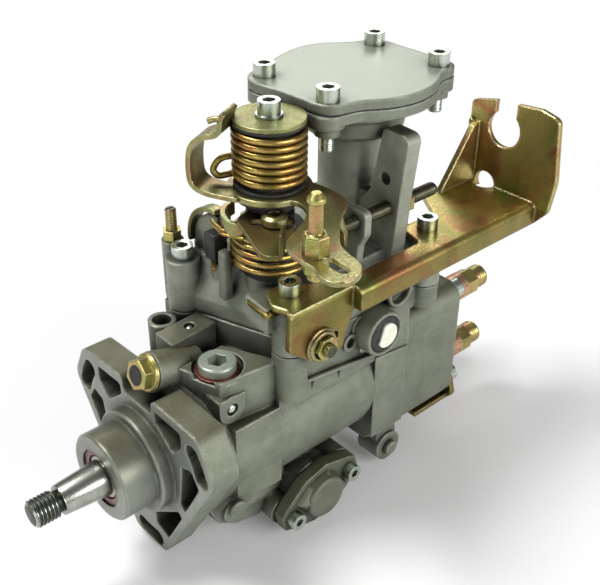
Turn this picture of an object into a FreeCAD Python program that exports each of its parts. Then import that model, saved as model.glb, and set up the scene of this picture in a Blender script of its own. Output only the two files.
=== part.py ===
import FreeCAD, Part
import math
import os
import Sketcher

# Distributor type diesel injection pump, driven from the -X end. Millimetres.
# The origin is on the drive shaft axis at the front face of the mounting flange.
# +X runs from the drive end to the distributor head, +Z is up, -Y is the control side.

Vector = FreeCAD.Vector
Rotation = FreeCAD.Rotation
doc = FreeCAD.newDocument("InjectionPump")
sheet = doc.addObject("Spreadsheet::Sheet", "Sizes")

SIZES = {
    # clearances
    "fit": 0.05,  # radial play of a pin, screw or shaft in its hole
    "gap": 0.3,  # play between faces that pass each other
    # nose, pilot and flange
    "nose_r": 21.0,
    "nose_len": 22.5,
    "pilot_r": 25.0,
    "pilot_len": 6.5,
    "flange_thick": 14.0,
    "slot_circle_r": 48.0,
    "slot_width": 9.0,
    "slot_sweep": 14.0,
    "slot_tilt": 27.0,
    "pocket_depth": 11.0,
    "seal_r": 13.9,
    "seal_thick": 6.0,
    "bush_r": 13.0,
    "journal_r": 10.0,
    # housing
    "barrel_wall": 6.0,
    "cavity_room": 0.375,
    "block_front": 114.0,
    "joint_x": 136.0,
    "block_half": 36.0,
    "block_round": 9.0,
    "wall_half": 36.0,
    "cover_z": 50.0,
    "gasket_thick": 0.6,
    "chamber_half": 33.0,
    "advance_x": 73.5,
    "advance_r": 10.0,
    "advance_half": 34.0,
    "advance_boss_r": 15.0,
    "advance_flange_thick": 6.0,
    "advance_screw_half": 19.0,
    # shaft
    "taper_r": 8.5,
    "taper_tip_r": 6.9,
    "taper_len": 20.3,
    "neck_r": 4.9,
    "thread_r": 6.0,
    "thread_len": 11.0,
    "shaft_tip": 56.3,
    # vane pump
    "pump_front": 16.0,
    "pump_wide": 17.0,
    "pump_ring_r": 28.0,
    "rotor_r": 17.0,
    "rotor_offset": 1.6,
    "vane_thick": 2.2,
    # governor gears
    "gear_x": 58.0,
    "gear_wide": 6.0,
    "gear_module": 1.25,
    "drive_teeth": 47.0,
    "carrier_teeth": 28.0,
    "gear_backlash": 0.25,
    # governor
    "governor_pin_r": 3.0,
    "governor_y": 12.0,
    "sleeve_travel": 2.0,
    "lever_pivot_z": 29.0,
    # cam and plunger
    "ring_x": 66.5,
    "ring_wide": 16.0,
    "roller_r": 4.5,
    "cam_lift": 2.2,
    "plunger_r": 5.5,
    "collar_r": 11.0,
    # head
    "spigot_x": 118.0,
    "head_len": 40.0,
    "outlet_inset": 17.0,
    "head_screw_inset": 7.5,
    # cover
    "roof_z": 75.0,
    "seat_z": 76.0,
    # control lever
    "control_x": 69.3,
    "control_y": -9.5,
    "spindle_r": 6.0,
    "lever_z": 115.6,
    "lever_thick": 2.0,
    "spring_r": 14.6,
    "spring_wire_r": 1.35,
    "cap_z": 146.12,
    "cap_thick": 1.8,
    "cap_r": 15.5,
    "return_r": 16.6,
    "return_wire_r": 1.1,
    "return_low_z": 82.0,
    # stops
    "stop_y": -31.0,
    "stop_z": 97.0,
    "stop_tip_x": 91.0,
    "tab_x": 100.0,
    "tab_thick": 4.0,
    "lug_x": 120.0,
    "lug_thick": 8.0,
    # boost unit
    "boost_x": 128.2,
    "boost_y": 1.7,
    "boost_seat_z": 150.9,
    "boost_cover_thick": 5.0,
    "boost_flange_thick": 6.0,
    "boost_r": 36.0,
    "boost_bolt_x": 34.7,
    "boost_bolt_y": 20.3,
    "boost_side": 42.2,
    "lobe_r": 7.5,
    "column_r": 15.0,
    # cable bracket
    "strip_thick": 3.0,
    "strip_rear": 208.0,
    "plate_thick": 2.5,
    "leg_y": -45.0,
    "leg_end_x": 83.0,
    "strip_fold_y": -50.5,
    "strip_drop": 8.0,
    "keyhole_y": -29.0,
    "keyhole_z": 111.0,
    "keyhole_r": 9.5,
    "keyhole_neck": 12.5,
    # fasteners
    "m6_r": 3.0,
    "m6_head_r": 5.0,
    "m6_head_tall": 6.0,
    "m6_key": 5.0,
    "m5_r": 2.5,
    "m5_head_r": 4.25,
    "m5_head_tall": 5.0,
    "m5_key": 4.0,
}


class Size:
    """A number together with the expression that ties it to the sheet."""

    def __init__(self, value, text):
        self.value = value
        self.text = text

    def __add__(self, other):
        return join(self, "+", other)

    def __radd__(self, other):
        return join(other, "+", self)

    def __sub__(self, other):
        return join(self, "-", other)

    def __rsub__(self, other):
        return join(other, "-", self)

    def __mul__(self, other):
        return join(self, "*", other)

    def __rmul__(self, other):
        return join(other, "*", self)

    def __truediv__(self, other):
        return join(self, "/", other)

    def __neg__(self):
        return join(0, "-", self)

    def __float__(self):
        return float(self.value)


def size(thing):
    return thing if isinstance(thing, Size) else Size(float(thing), f"({float(thing):.6f})")


def join(left, sign, right):
    left = size(left)
    right = size(right)
    results = {
        "+": lambda: left.value + right.value,
        "-": lambda: left.value - right.value,
        "*": lambda: left.value * right.value,
        "/": lambda: left.value / right.value,
    }
    return Size(results[sign](), f"({left.text} {sign} {right.text})")


def sine(angle):
    angle = size(angle)
    return Size(math.sin(math.radians(angle.value)), f"sin({angle.text} * 1 deg)")


def cosine(angle):
    angle = size(angle)
    return Size(math.cos(math.radians(angle.value)), f"cos({angle.text} * 1 deg)")


class Sizes:
    """Every driving size by its name in the sheet."""

    def __init__(self):
        for row, (name, value) in enumerate(SIZES.items(), start=1):
            sheet.set(f"A{row}", str(value))
            sheet.setAlias(f"A{row}", name)
        doc.recompute()
        for name in SIZES:
            setattr(self, name, Size(float(sheet.get(name)), f"Sizes.{name}"))


d = Sizes()
# the cavity clears the tips of the drive gear, and the timing bore lies against the cavity
d.cavity_r = d.gear_module * (d.drive_teeth + 2) / 2 + d.cavity_room
d.barrel_r = d.cavity_r + d.barrel_wall
d.advance_z = -(d.cavity_r + d.advance_r)
TURN = {
    "x": Rotation(Vector(0, 1, 0), 90),
    "-x": Rotation(Vector(0, 1, 0), -90),
    "y": Rotation(Vector(1, 0, 0), -90),
    "-y": Rotation(Vector(1, 0, 0), 90),
    "z": Rotation(),
    "-z": Rotation(Vector(1, 0, 0), 180),
}
PROFILE_TURN = {
    "x": Rotation(),
    "-x": Rotation(Vector(0, 0, 1), 180),
    "y": Rotation(Vector(0, 0, 1), 90),
    "-y": Rotation(Vector(0, 0, 1), -90),
    "z": Rotation(Vector(0, 1, 0), -90),
    "-z": Rotation(Vector(0, 1, 0), 90),
}
UNIT = {"x": Vector(1, 0, 0), "y": Vector(0, 1, 0), "z": Vector(0, 0, 1)}
counter = [0]
nodes = []


def fresh(word):
    counter[0] += 1
    return f"{word}_{counter[0]}"


def bind(thing, what, value):
    thing.setExpression(what, size(value).text)


def put(thing, at, rotation=None):
    if rotation is not None:
        thing.Placement = FreeCAD.Placement(Vector(), rotation)
    for letter, value in zip("xyz", at):
        bind(thing, "Placement.Base." + letter, value)
    return thing


def node(name, thing):
    thing.Label = name
    nodes.append(thing)
    return thing


def rod(at, axis, radius, length):
    thing = doc.addObject("Part::Cylinder", fresh("rod"))
    bind(thing, "Radius", radius)
    bind(thing, "Height", length)
    return put(thing, at, TURN[axis])


def cone(at, axis, radius_low, radius_high, length):
    thing = doc.addObject("Part::Cone", fresh("cone"))
    bind(thing, "Radius1", radius_low)
    bind(thing, "Radius2", radius_high)
    bind(thing, "Height", length)
    return put(thing, at, TURN[axis])


def ball(at, radius):
    thing = doc.addObject("Part::Sphere", fresh("ball"))
    bind(thing, "Radius", radius)
    return put(thing, at)


def box(low, high, rotation=None):
    thing = doc.addObject("Part::Box", fresh("box"))
    for what, start, end in zip(("Length", "Width", "Height"), low, high):
        bind(thing, what, size(end) - start)
    return put(thing, low, rotation)


def hexagon(at, axis, across_flats, length):
    thing = doc.addObject("Part::Prism", fresh("hexagon"))
    thing.Polygon = 6
    bind(thing, "Circumradius", size(across_flats) / math.sqrt(3))
    bind(thing, "Height", length)
    return put(thing, at, TURN[axis])


def fuse(*things):
    if len(things) == 1:
        return things[0]
    thing = doc.addObject("Part::MultiFuse", fresh("fuse"))
    thing.Shapes = list(things)
    return thing


def group(*things):
    """Separate solids that share one node, such as a set of screws."""
    thing = doc.addObject("Part::Compound", fresh("group"))
    thing.Links = list(things)
    return thing


def cut(base, *tools):
    thing = doc.addObject("Part::Cut", fresh("cut"))
    thing.Base = base
    thing.Tool = fuse(*tools)
    return thing


def common(first, second):
    thing = doc.addObject("Part::Common", fresh("common"))
    thing.Base = first
    thing.Tool = second
    return thing


def add_polygon(sketch, points):
    """Draws a closed outline. A third number in a point is the radius of its corner."""
    count = len(points)
    corners = [Vector(float(size(point[0])), float(size(point[1])), 0) for point in points]
    starts = list(corners)
    ends = list(corners)
    bends = [None] * count
    for i, point in enumerate(points):
        if len(point) == 3:
            back = (corners[i - 1] - corners[i]).normalize()
            ahead = (corners[(i + 1) % count] - corners[i]).normalize()
            half = back.getAngle(ahead) / 2
            radius = float(size(point[2]))
            ends[i] = corners[i] + back * (radius / math.tan(half))
            starts[i] = corners[i] + ahead * (radius / math.tan(half))
            bends[i] = corners[i] + (back + ahead).normalize() * (radius / math.sin(half))
    lines = []
    for i in range(count):
        lines.append(sketch.addGeometry(Part.LineSegment(starts[i], ends[(i + 1) % count])))
    for i, point in enumerate(points):
        if bends[i] is None:
            sketch.addConstraint(Sketcher.Constraint("Coincident", lines[i - 1], 2, lines[i], 1))
            held = lines[i]
        else:
            held = add_corner(sketch, lines[i - 1], lines[i], corners[i], ends[i], starts[i], bends[i], point[2])
        for kind, value in zip(("DistanceX", "DistanceY"), point):
            value = size(value)
            place = sketch.addConstraint(Sketcher.Constraint(kind, -1, 1, held, 1, value.value))
            sketch.setExpression(f"Constraints[{place}]", value.text)


def add_corner(sketch, before, after, corner, start, end, middle, radius):
    """An arc tangent to two lines, held by the point where the lines would meet."""
    leftward = (start - corner).cross(end - corner).z < 0
    first, last = (start, end) if leftward else (end, start)
    low = math.atan2(first.y - middle.y, first.x - middle.x)
    high = math.atan2(last.y - middle.y, last.x - middle.x)
    if high < low:
        high += 2 * math.pi
    circle = Part.Circle(middle, Vector(0, 0, 1), float(size(radius)))
    arc = sketch.addGeometry(Part.ArcOfCircle(circle, low, high))
    near, far = (1, 2) if leftward else (2, 1)
    sketch.addConstraint(Sketcher.Constraint("Tangent", before, 2, arc, near))
    sketch.addConstraint(Sketcher.Constraint("Tangent", after, 1, arc, far))
    place = sketch.addConstraint(Sketcher.Constraint("Radius", arc, float(size(radius))))
    sketch.setExpression(f"Constraints[{place}]", size(radius).text)
    held = sketch.addGeometry(Part.Point(corner), True)
    sketch.addConstraint(Sketcher.Constraint("PointOnObject", held, 1, before))
    sketch.addConstraint(Sketcher.Constraint("PointOnObject", held, 1, after))
    return held


def add_circle(sketch, centre, radius):
    here = Vector(float(size(centre[0])), float(size(centre[1])), 0)
    which = sketch.addGeometry(Part.Circle(here, Vector(0, 0, 1), float(size(radius))))
    for kind, value in zip(("DistanceX", "DistanceY"), centre):
        value = size(value)
        place = sketch.addConstraint(Sketcher.Constraint(kind, -1, 1, which, 3, value.value))
        sketch.setExpression(f"Constraints[{place}]", value.text)
    place = sketch.addConstraint(Sketcher.Constraint("Radius", which, float(size(radius))))
    sketch.setExpression(f"Constraints[{place}]", size(radius).text)


def add_sketch(body, plane, offset=0):
    """A sketch on an origin plane of its own body. XZ faces -Y, the others face +Z and +X."""
    sketch = body.newObject("Sketcher::SketchObject", fresh("sketch"))
    origin = [item for item in body.Origin.OriginFeatures if item.Role == plane + "_Plane"][0]
    sketch.AttachmentSupport = [(origin, "")]
    sketch.MapMode = "FlatFace"
    bind(sketch, "AttachmentOffset.Base.z", offset)
    return sketch


def body_named(word):
    return doc.addObject("PartDesign::Body", fresh(word))


def pad(body, sketch, length):
    feature = body.newObject("PartDesign::Pad", fresh("pad"))
    feature.Profile = sketch
    bind(feature, "Length", length)
    return feature


def turned(axis, at, profile):
    """A turned piece: its profile is points of distance along the axis and radius."""
    body = body_named("turned")
    sketch = add_sketch(body, "XY")
    add_polygon(sketch, profile)
    feature = body.newObject("PartDesign::Revolution", fresh("turn"))
    feature.Profile = sketch
    feature.ReferenceAxis = (sketch, ["H_Axis"])
    feature.Angle = 360
    return put(body, at, PROFILE_TURN[axis])


def plate(plane, start, thick, outline, holes=()):
    """A flat piece from its outline; start is where its back face lies along the plane's normal."""
    body = body_named("plate")
    sketch = add_sketch(body, plane, start)
    add_polygon(sketch, outline)
    for centre, radius in holes:
        add_circle(sketch, centre, radius)
    pad(body, sketch, thick)
    return body


def loft(plane, start, low_outline, end, high_outline):
    body = body_named("loft")
    low = add_sketch(body, plane, start)
    add_polygon(low, low_outline)
    high = add_sketch(body, plane, end)
    add_polygon(high, high_outline)
    feature = body.newObject("PartDesign::AdditiveLoft", fresh("skin"))
    feature.Profile = low
    feature.Sections = [high]
    feature.Ruled = True
    return body


def rounded(thing, radius, axis, wanted):
    """Fillets the straight edges along an axis whose middle passes the test."""
    doc.recompute()
    picked = []
    for number, edge in enumerate(thing.Shape.Edges, start=1):
        if not isinstance(edge.Curve, Part.Line) or edge.Length < 0.01:
            continue
        along = (edge.Vertexes[-1].Point - edge.Vertexes[0].Point).normalize()
        middle = edge.CenterOfMass
        if abs(along.dot(UNIT[axis])) > 0.999 and wanted(middle):
            picked.append((number, radius, radius))
    feature = doc.addObject("Part::Fillet", fresh("fillet"))
    feature.Base = thing
    feature.Edges = picked
    return feature


def round_body(body, radius, axis, wanted):
    """Fillets picked edges inside a body."""
    doc.recompute()
    names = []
    for number, edge in enumerate(body.Tip.Shape.Edges, start=1):
        if not isinstance(edge.Curve, Part.Line):
            continue
        along = (edge.Vertexes[-1].Point - edge.Vertexes[0].Point).normalize()
        if abs(along.dot(UNIT[axis])) > 0.999 and wanted(edge.CenterOfMass):
            names.append(f"Edge{number}")
    tip = body.Tip
    feature = body.newObject("PartDesign::Fillet", fresh("fillet"))
    feature.Base = (tip, names)
    bind(feature, "Radius", radius)
    return body


def socket_screw(at, axis, radius, head_r, head_tall, key, length):
    """Socket head cap screw; at is the seat under its head and axis points out of the head."""
    back = axis[1:] if axis.startswith("-") else "-" + axis
    head = rod(at, axis, head_r, head_tall)
    shank = rod(at, back, radius, length)
    depth = size(head_tall) * 0.55
    sign = -1 if axis.startswith("-") else 1
    letter = "xyz".index(axis[-1])
    mouth = list(at)
    mouth[letter] = size(at[letter]) + sign * (size(head_tall) - depth)
    return cut(fuse(head, shank), hexagon(mouth, axis, key, depth + 1))


def m6_screw(at, axis, length):
    return socket_screw(at, axis, d.m6_r, d.m6_head_r, d.m6_head_tall, d.m6_key, length)


def m5_screw(at, axis, length):
    return socket_screw(at, axis, d.m5_r, d.m5_head_r, d.m5_head_tall, d.m5_key, length)


def washer(at, axis, radius, hole_r, thick):
    return turned(axis, at, [(0, hole_r), (thick, hole_r), (thick, radius), (0, radius)])


def coil_spring(axis, at, coil_r, wire_r, turns, pitch, flats=12, sides=6, start=0.0):
    """A coil of round wire drawn with flats: rings of wire section joined by flat facets."""
    coil_r, wire_r, turns, pitch = (float(size(v)) for v in (coil_r, wire_r, turns, pitch))
    steps = int(round(turns * flats))
    rings = []
    for step in range(steps + 1):
        angle = math.radians(start) + 2 * math.pi * step / flats
        rise = pitch * step / flats
        ring = []
        for side in range(sides):
            swing = 2 * math.pi * (side + 0.5) / sides
            reach = coil_r + wire_r * math.cos(swing)
            ring.append(Vector(reach * math.cos(angle), reach * math.sin(angle), rise + wire_r * math.sin(swing)))
        rings.append(ring)
    faces = [
        Part.Face(Part.makePolygon(list(reversed(rings[0])) + [rings[0][-1]])),
        Part.Face(Part.makePolygon(rings[-1] + [rings[-1][0]])),
    ]
    for low, high in zip(rings, rings[1:]):
        for side in range(sides):
            after = (side + 1) % sides
            for corners in ((low[side], low[after], high[after]), (low[side], high[after], high[side])):
                faces.append(Part.Face(Part.makePolygon(list(corners) + [corners[0]])))
    solid = Part.Solid(Part.Shell(faces))
    if solid.Volume < 0:
        solid.reverse()
    thing = doc.addObject("Part::Feature", fresh("coil"))
    thing.Shape = solid
    return put(thing, at, TURN[axis])


def gear_blank(at_x, axis_z, teeth, turn, hole_r):
    """Spur gear about a line along X, with straight-sided teeth that keep the backlash."""
    module = float(d.gear_module)
    count = int(float(teeth))
    pitch_r = module * count / 2
    root_r = pitch_r - 1.2 * module
    tip_r = pitch_r + 0.9 * module
    half_pitch = math.pi / count / 2
    slack = float(d.gear_backlash) / pitch_r / 2
    points = []
    for tooth in range(count):
        middle = math.radians(turn) + 2 * math.pi * tooth / count
        root_half = half_pitch * 1.62 - slack
        tip_half = half_pitch * 0.42 - slack
        for angle, radius in (
            (middle - root_half, root_r),
            (middle - tip_half, tip_r),
            (middle + tip_half, tip_r),
            (middle + root_half, root_r),
        ):
            points.append(Vector(0, radius * math.cos(angle), radius * math.sin(angle)))
    face = Part.Face(Part.makePolygon(points + [points[0]]))
    solid = face.extrude(Vector(float(d.gear_wide), 0, 0))
    hole = Part.makeCylinder(float(size(hole_r)), float(d.gear_wide), Vector(), Vector(1, 0, 0))
    thing = doc.addObject("Part::Feature", fresh("gear"))
    thing.Shape = solid.cut(hole)
    return put(thing, (at_x, 0, axis_z))


def root_of(value):
    value = size(value)
    return Size(math.sqrt(value.value), f"sqrt({value.text})")


# derived places shared by several pieces
GEAR_DISTANCE = d.gear_module * (d.drive_teeth + d.carrier_teeth) / 2
GOV_Y = d.governor_y
GOV_Z = root_of(GEAR_DISTANCE * GEAR_DISTANCE - GOV_Y * GOV_Y)
TILT = 13.7
SCREW_X = d.advance_screw_half * cosine(TILT)
SCREW_Z = d.advance_screw_half * sine(TILT)
ADVANCE_SCREWS = [(d.advance_x + s * SCREW_X, d.advance_z + s * SCREW_Z) for s in (-1, 1)]
OUTLET = d.block_half - d.outlet_inset
OUTLETS = [(y * OUTLET, z * OUTLET) for y in (-1, 1) for z in (-1, 1)]
HEAD_SCREW = d.block_half - d.head_screw_inset
HEAD_SCREWS = [(y * HEAD_SCREW, z * HEAD_SCREW) for y in (-1, 1) for z in (-1, 1)]
BOOST_BOLTS = [
    (d.boost_x + x * d.boost_bolt_x, d.boost_y + y * d.boost_bolt_y) for x in (-1, 1) for y in (-1, 1)
]
COVER_SCREWS = [(46, 25, 0), (58.7, -34.3, 1), (146, -34, 1), (146, 34, 0)]
WALL = d.wall_half
CHAMBER_OUT = [(41, WALL - 1), (41, 30), (48, 8), (59, -23), (51, -31), (51, -WALL), (136, -WALL), (136, WALL),
               (44, WALL)]
CHAMBER_IN = [(56, 33), (56, 16), (51.7, 9), (61.8, -20.5), (68, -33), (122, -33), (122, 33)]
COVER_LOW = [(42, WALL - 1), (42, 29), (49, 8), (59, -22), (53, -31), (53, -WALL), (152, -WALL), (152, WALL),
             (44, WALL)]
COVER_MID = [(42, WALL - 2), (42, 29), (49, 8), (59, -22), (60, 1 - WALL), (150, 1 - WALL), (150, WALL - 1),
             (45, WALL - 1)]
COVER_HIGH = [(54, 28), (54, 20), (57, 8), (60, -14), (66, -30), (148, -30), (148, 30), (56, 30)]
INNER_LOW = [(56, 33), (56, 16), (52.2, 9), (62.3, -20.5), (68, -33), (134, -33), (139, -26), (139, 26), (134, 33)]
INNER_MID = [(56, 32), (56, 16), (52.2, 9), (62.3, -20.5), (68, -32.5), (137, -32.5), (137, 32)]
INNER_HIGH = [(57, 26), (57, 16), (58.8, 9), (63.3, -14.5), (68.5, -27), (137, -27), (137, 26)]
FLANGE = [(54, 18, 8), (44, 37, 7), (11, 38.5, 3), (11, 30, 3), (-11, 30, 3), (-11, 38.5, 3), (-44, 37, 7),
          (-54, 18, 8), (-12, -53, 6), (12, -53, 6)]
WEB = [(16, -20), (17, -28), (21, -37.5), (32, -45), (44, -48), (62, -46), (62, -20)]


def kidney(angle):
    """Slot on the flange circle, made of three drilled rods and a ring sector's chord."""
    rods = []
    for part in (-1, -0.5, 0, 0.5, 1):
        here = size(angle) + part * d.slot_sweep / 2
        at = (-1, d.slot_circle_r * cosine(here), d.slot_circle_r * sine(here))
        rods.append(rod(at, "x", d.slot_width / 2, d.flange_thick + 2))
    return rods


def mirrored(outline):
    return [(-point[0], *point[1:]) for point in outline]


def pump_housing():
    pad_high = [(17.4, -8.2), (41.9, -6.9), (54.3, -33), (23.7, -28.9)]
    inlet = [(21.6, 14.7), (46, 16), (47, 3.8), (21.3, 2.1)]
    metal = [
        turned("x", (0, 0, 0), [(-d.nose_len, 0), (0, 0), (0, d.nose_r), (1 - d.nose_len, d.nose_r),
                                (-d.nose_len, d.nose_r - 1)]),
        turned("x", (0, 0, 0), [(-d.pilot_len, 0), (0.5, 0), (0.5, d.pilot_r), (0.7 - d.pilot_len, d.pilot_r),
                                (-d.pilot_len, d.pilot_r - 0.7)]),
        plate("YZ", 0, d.flange_thick, FLANGE),
        rod((d.flange_thick - 1, 0, 0), "x", d.barrel_r, d.block_front - d.flange_thick + 2),
        plate("XY", 18, d.cover_z - 18, CHAMBER_OUT),
        rounded(box((d.block_front, -d.block_half, -d.block_half), (d.joint_x, d.block_half, 26)),
                d.block_round, "x", lambda p: p.z < 0),
        plate("XY", 10, 35, pad_high),
        plate("XZ", -20, 46, WEB),
        rod((30, -28, -34), "y", 6.5, 3),
        rod((36, -23, -37), "x", 4.5, 26),
        rod((127, -d.block_half, -d.block_half - 9), "y", 8.5, 14),
        box((120, 2 - d.block_half, -d.block_half - 8), (134, 14 - d.block_half, 2 - d.block_half)),
        plate("XY", 20, d.cover_z - 20, inlet),
        put(rod((0, 0, 0), "z", 8, 17.6), (31.4, 0, 37.4), Rotation(Vector(0, 1, 0), -76)),
        box((17.5, -8, 15), (34, 8, 38)),
        rod((30, 21.8, 15), "z", 6.5, d.cover_z - 15),
        rod((d.advance_x, -d.advance_half, d.advance_z), "y", d.advance_boss_r, 2 * d.advance_half),
    ]
    for x, z in ADVANCE_SCREWS:
        metal.append(rod((x, -d.advance_half, z), "y", 7.5, 18))
        metal.append(rod((x, d.advance_half - 18, z), "y", 7.5, 18))
    for x, y in ((46, 25), (58.7, -34.3)):
        metal.append(rod((x, y, 26), "z", 8, d.cover_z - 26))
    for side in (-1, 1):
        low, high = (d.wall_half - 9, d.wall_half) if side > 0 else (-d.wall_half, 9 - d.wall_half)
        metal.append(rod((146, side * 34, 38.5), "z", 7.8, d.cover_z - 38.5))
        metal.append(box((130, low, 38.5), (146, high, d.cover_z)))
    metal += [
        rod((100.5, -d.wall_half - 1, 44.3), "y", 5.4, 6),
        rod((94, -d.wall_half - 1.5, 38), "y", 4.6, 6),
        rod((108.2, -44.5, 40.6), "y", 9.2, 14),
        rod((28.2, -31.5, 30.5), "y", 7, 12),
        box((21.2, -31.5, 30.5), (35.2, -22, 37)),
        box((26, -36, -22), (52, -24, 22)),
    ]
    space = [
        rod((-d.nose_len - 1, 0, 0), "x", d.seal_r + d.fit, d.seal_thick + 2.5),
        rod((-d.nose_len, 0, 0), "x", d.bush_r + d.fit, d.nose_len + d.pump_front + 1),
        rod((d.pump_front, 0, 0), "x", d.pump_ring_r + d.fit, d.pump_wide + 1),
        rod((d.pump_front + d.pump_wide, 0, 0), "x", d.cavity_r, 110),
        plate("XY", 24.5, 30, CHAMBER_IN),
        rod((d.advance_x, -d.advance_half - 8, d.advance_z), "y", d.advance_r + d.fit, 2 * d.advance_half + 16),
        box((d.advance_x - 4.5, -6, d.advance_z), (d.advance_x + 4.5, 12.5, -25)),
        rod((40, GOV_Y, GOV_Z), "x", d.governor_pin_r + d.fit, 20),
        rod((31, -18, 33.5), "z", 6 + d.fit, 20),
        rod((30, 21.8, 34), "z", 4.5 + d.fit, 20),
        put(rod((0, 0, 0), "z", 4.6, 12), (22, 0, 39.7), Rotation(Vector(0, 1, 0), -76)),
        rod((31, -18, 42.5), "z", 11.5, 4),
        rod((28.2, -32, 30.5), "y", 3 + d.fit, 7),
        rod((127, -d.block_half - 1, -d.block_half - 9), "y", 4, 16),
        rod((94, -d.wall_half - 2, 38), "y", 2.8, 4),
        rod((36.3, 9.3, d.cover_z - 6), "z", 2.5 + d.fit, 8),
        rod((108.2, -46, 40.6), "y", 7 + d.fit, 8),
        rod((100.5, -d.wall_half - 2, 44.3), "y", 3.4, 2.2),
        rod((105, -36.5, d.lever_pivot_z), "y", 3 + d.fit, 73),
    ]
    space += kidney(d.slot_tilt) + kidney(180 - d.slot_tilt) + kidney(270)
    for x, z in ADVANCE_SCREWS:
        space.append(rod((x, -d.advance_half - 1, z), "y", d.m5_r + d.fit, 15))
        space.append(rod((x, d.advance_half - 14, z), "y", d.m5_r + d.fit, 15))
    for x, y, _ in COVER_SCREWS:
        deep = 9.5 if x > 100 else 14
        space.append(rod((x, y, d.cover_z - deep), "z", d.m6_r + d.fit, deep + 1))
    for y, z in HEAD_SCREWS:
        space.append(rod((d.joint_x - 12.5, y, z), "x", d.m6_r + d.fit, 14))
    pockets = [
        [(13, 33.5, 2), (32, 33, 2), (32, 25, 2), (25, 17.5, 2), (13, 27.5, 2)],
        [(31, 14, 2), (38, 16.5, 2), (43, 9, 2), (31, -13, 1.2), (28, -10, 1.2)],
        [(6, -31, 2), (26, -16, 1.2), (28, -19, 1.2), (15.5, -41, 2), (6, -37, 1.5)],
    ]
    for outline in pockets:
        for shape in (outline, mirrored(outline)):
            space.append(plate("YZ", -1, d.pocket_depth + 1, shape))
    return cut(fuse(*metal), *space)


def shaft_seal():
    inner = d.journal_r + d.fit
    back = d.seal_thick
    profile = [(0, inner + 0.8), (0, d.seal_r), (back, d.seal_r), (back, inner + 1.6), (3.6, inner),
               (3, inner), (1.2, inner + 0.8)]
    return turned("x", (-d.nose_len + 1, 0, 0), profile)


def shaft_bush():
    inner = d.journal_r + d.fit
    return turned("x", (-14.5, 0, 0), [(0, inner), (0, d.bush_r), (28, d.bush_r), (28, inner)])


def vane_cam_ring():
    ring = rod((d.pump_front + d.fit, 0, 0), "x", d.pump_ring_r, d.pump_wide - 2 * d.fit)
    race = rod((d.pump_front - 1, d.rotor_offset, 0), "x", d.rotor_r + 0.4 + d.rotor_offset, d.pump_wide + 2)
    return cut(ring, race)


def vane_rotor():
    start = d.pump_front + d.gap
    wide = d.pump_wide - 2 * d.gap
    rotor = rod((start, 0, 0), "x", d.rotor_r, wide)
    slots = []
    vanes = []
    half = d.vane_thick / 2
    for turn in range(4):
        swing = Rotation(Vector(1, 0, 0), 90 * turn + 20)
        for store, low, high, side in ((slots, 11, 19, half + 0.04), (vanes, 11.4, 17.2, half)):
            thing = doc.addObject("Part::Box", fresh("vane"))
            bind(thing, "Length", wide)
            bind(thing, "Width", 2 * size(side))
            bind(thing, "Height", size(high) - low)
            corner = swing.multVec(Vector(0, -float(size(side)), low))
            put(thing, (start, corner.y, corner.z), swing)
            store.append(thing)
    bore = rod((start - 1, 0, 0), "x", d.journal_r + 0.02, wide + 2)
    return group(cut(rotor, bore, *slots), *vanes)


def pump_plate():
    start = d.pump_front + d.pump_wide
    inner = d.journal_r + d.gap
    return turned("x", (start, 0, 0), [(0.02, inner), (0.02, d.cavity_r - d.fit), (3.5, d.cavity_r - d.fit),
                                       (3.5, inner)])


def drive_shaft():
    tip = -d.nose_len - d.taper_len
    profile = [
        (-d.shaft_tip, 0), (-d.shaft_tip, d.thread_r - 0.8), (0.8 - d.shaft_tip, d.thread_r),
        (tip - 2.5, d.thread_r), (tip - 2.5, d.neck_r), (tip, d.neck_r), (tip, d.taper_tip_r),
        (-d.nose_len, d.taper_r), (-d.nose_len + 1.2, d.taper_r), (-d.nose_len + 1.5, d.journal_r),
        (65, d.journal_r), (65, 0),
    ]
    shaft = turned("x", (0, 0, 0), profile)
    keyway = box((tip + 4, -2, d.taper_r - 3.2), (tip + 15, 2, d.taper_r + 2))
    claws = [box((64, -12, -4), (78, -5, 4)), box((64, 5, -4), (78, 12, 4))]
    web = rod((64, 0, 0), "x", 12.5, 2)
    return cut(fuse(shaft, web, *claws), keyway)


def drive_gear():
    return gear_blank(d.gear_x, 0, d.drive_teeth, 0, d.journal_r + 0.02)


def governor_turn():
    """Angle that sets a gap of the small gear on the tooth of the drive gear along the centre line."""
    line = math.degrees(math.atan2(float(GOV_Z), float(GOV_Y)))
    drive = float(d.drive_teeth)
    small = float(d.carrier_teeth)
    phase = (line * drive / 360) % 1
    return line + 180 + (0.5 - phase) * 360 / small * -1


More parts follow.
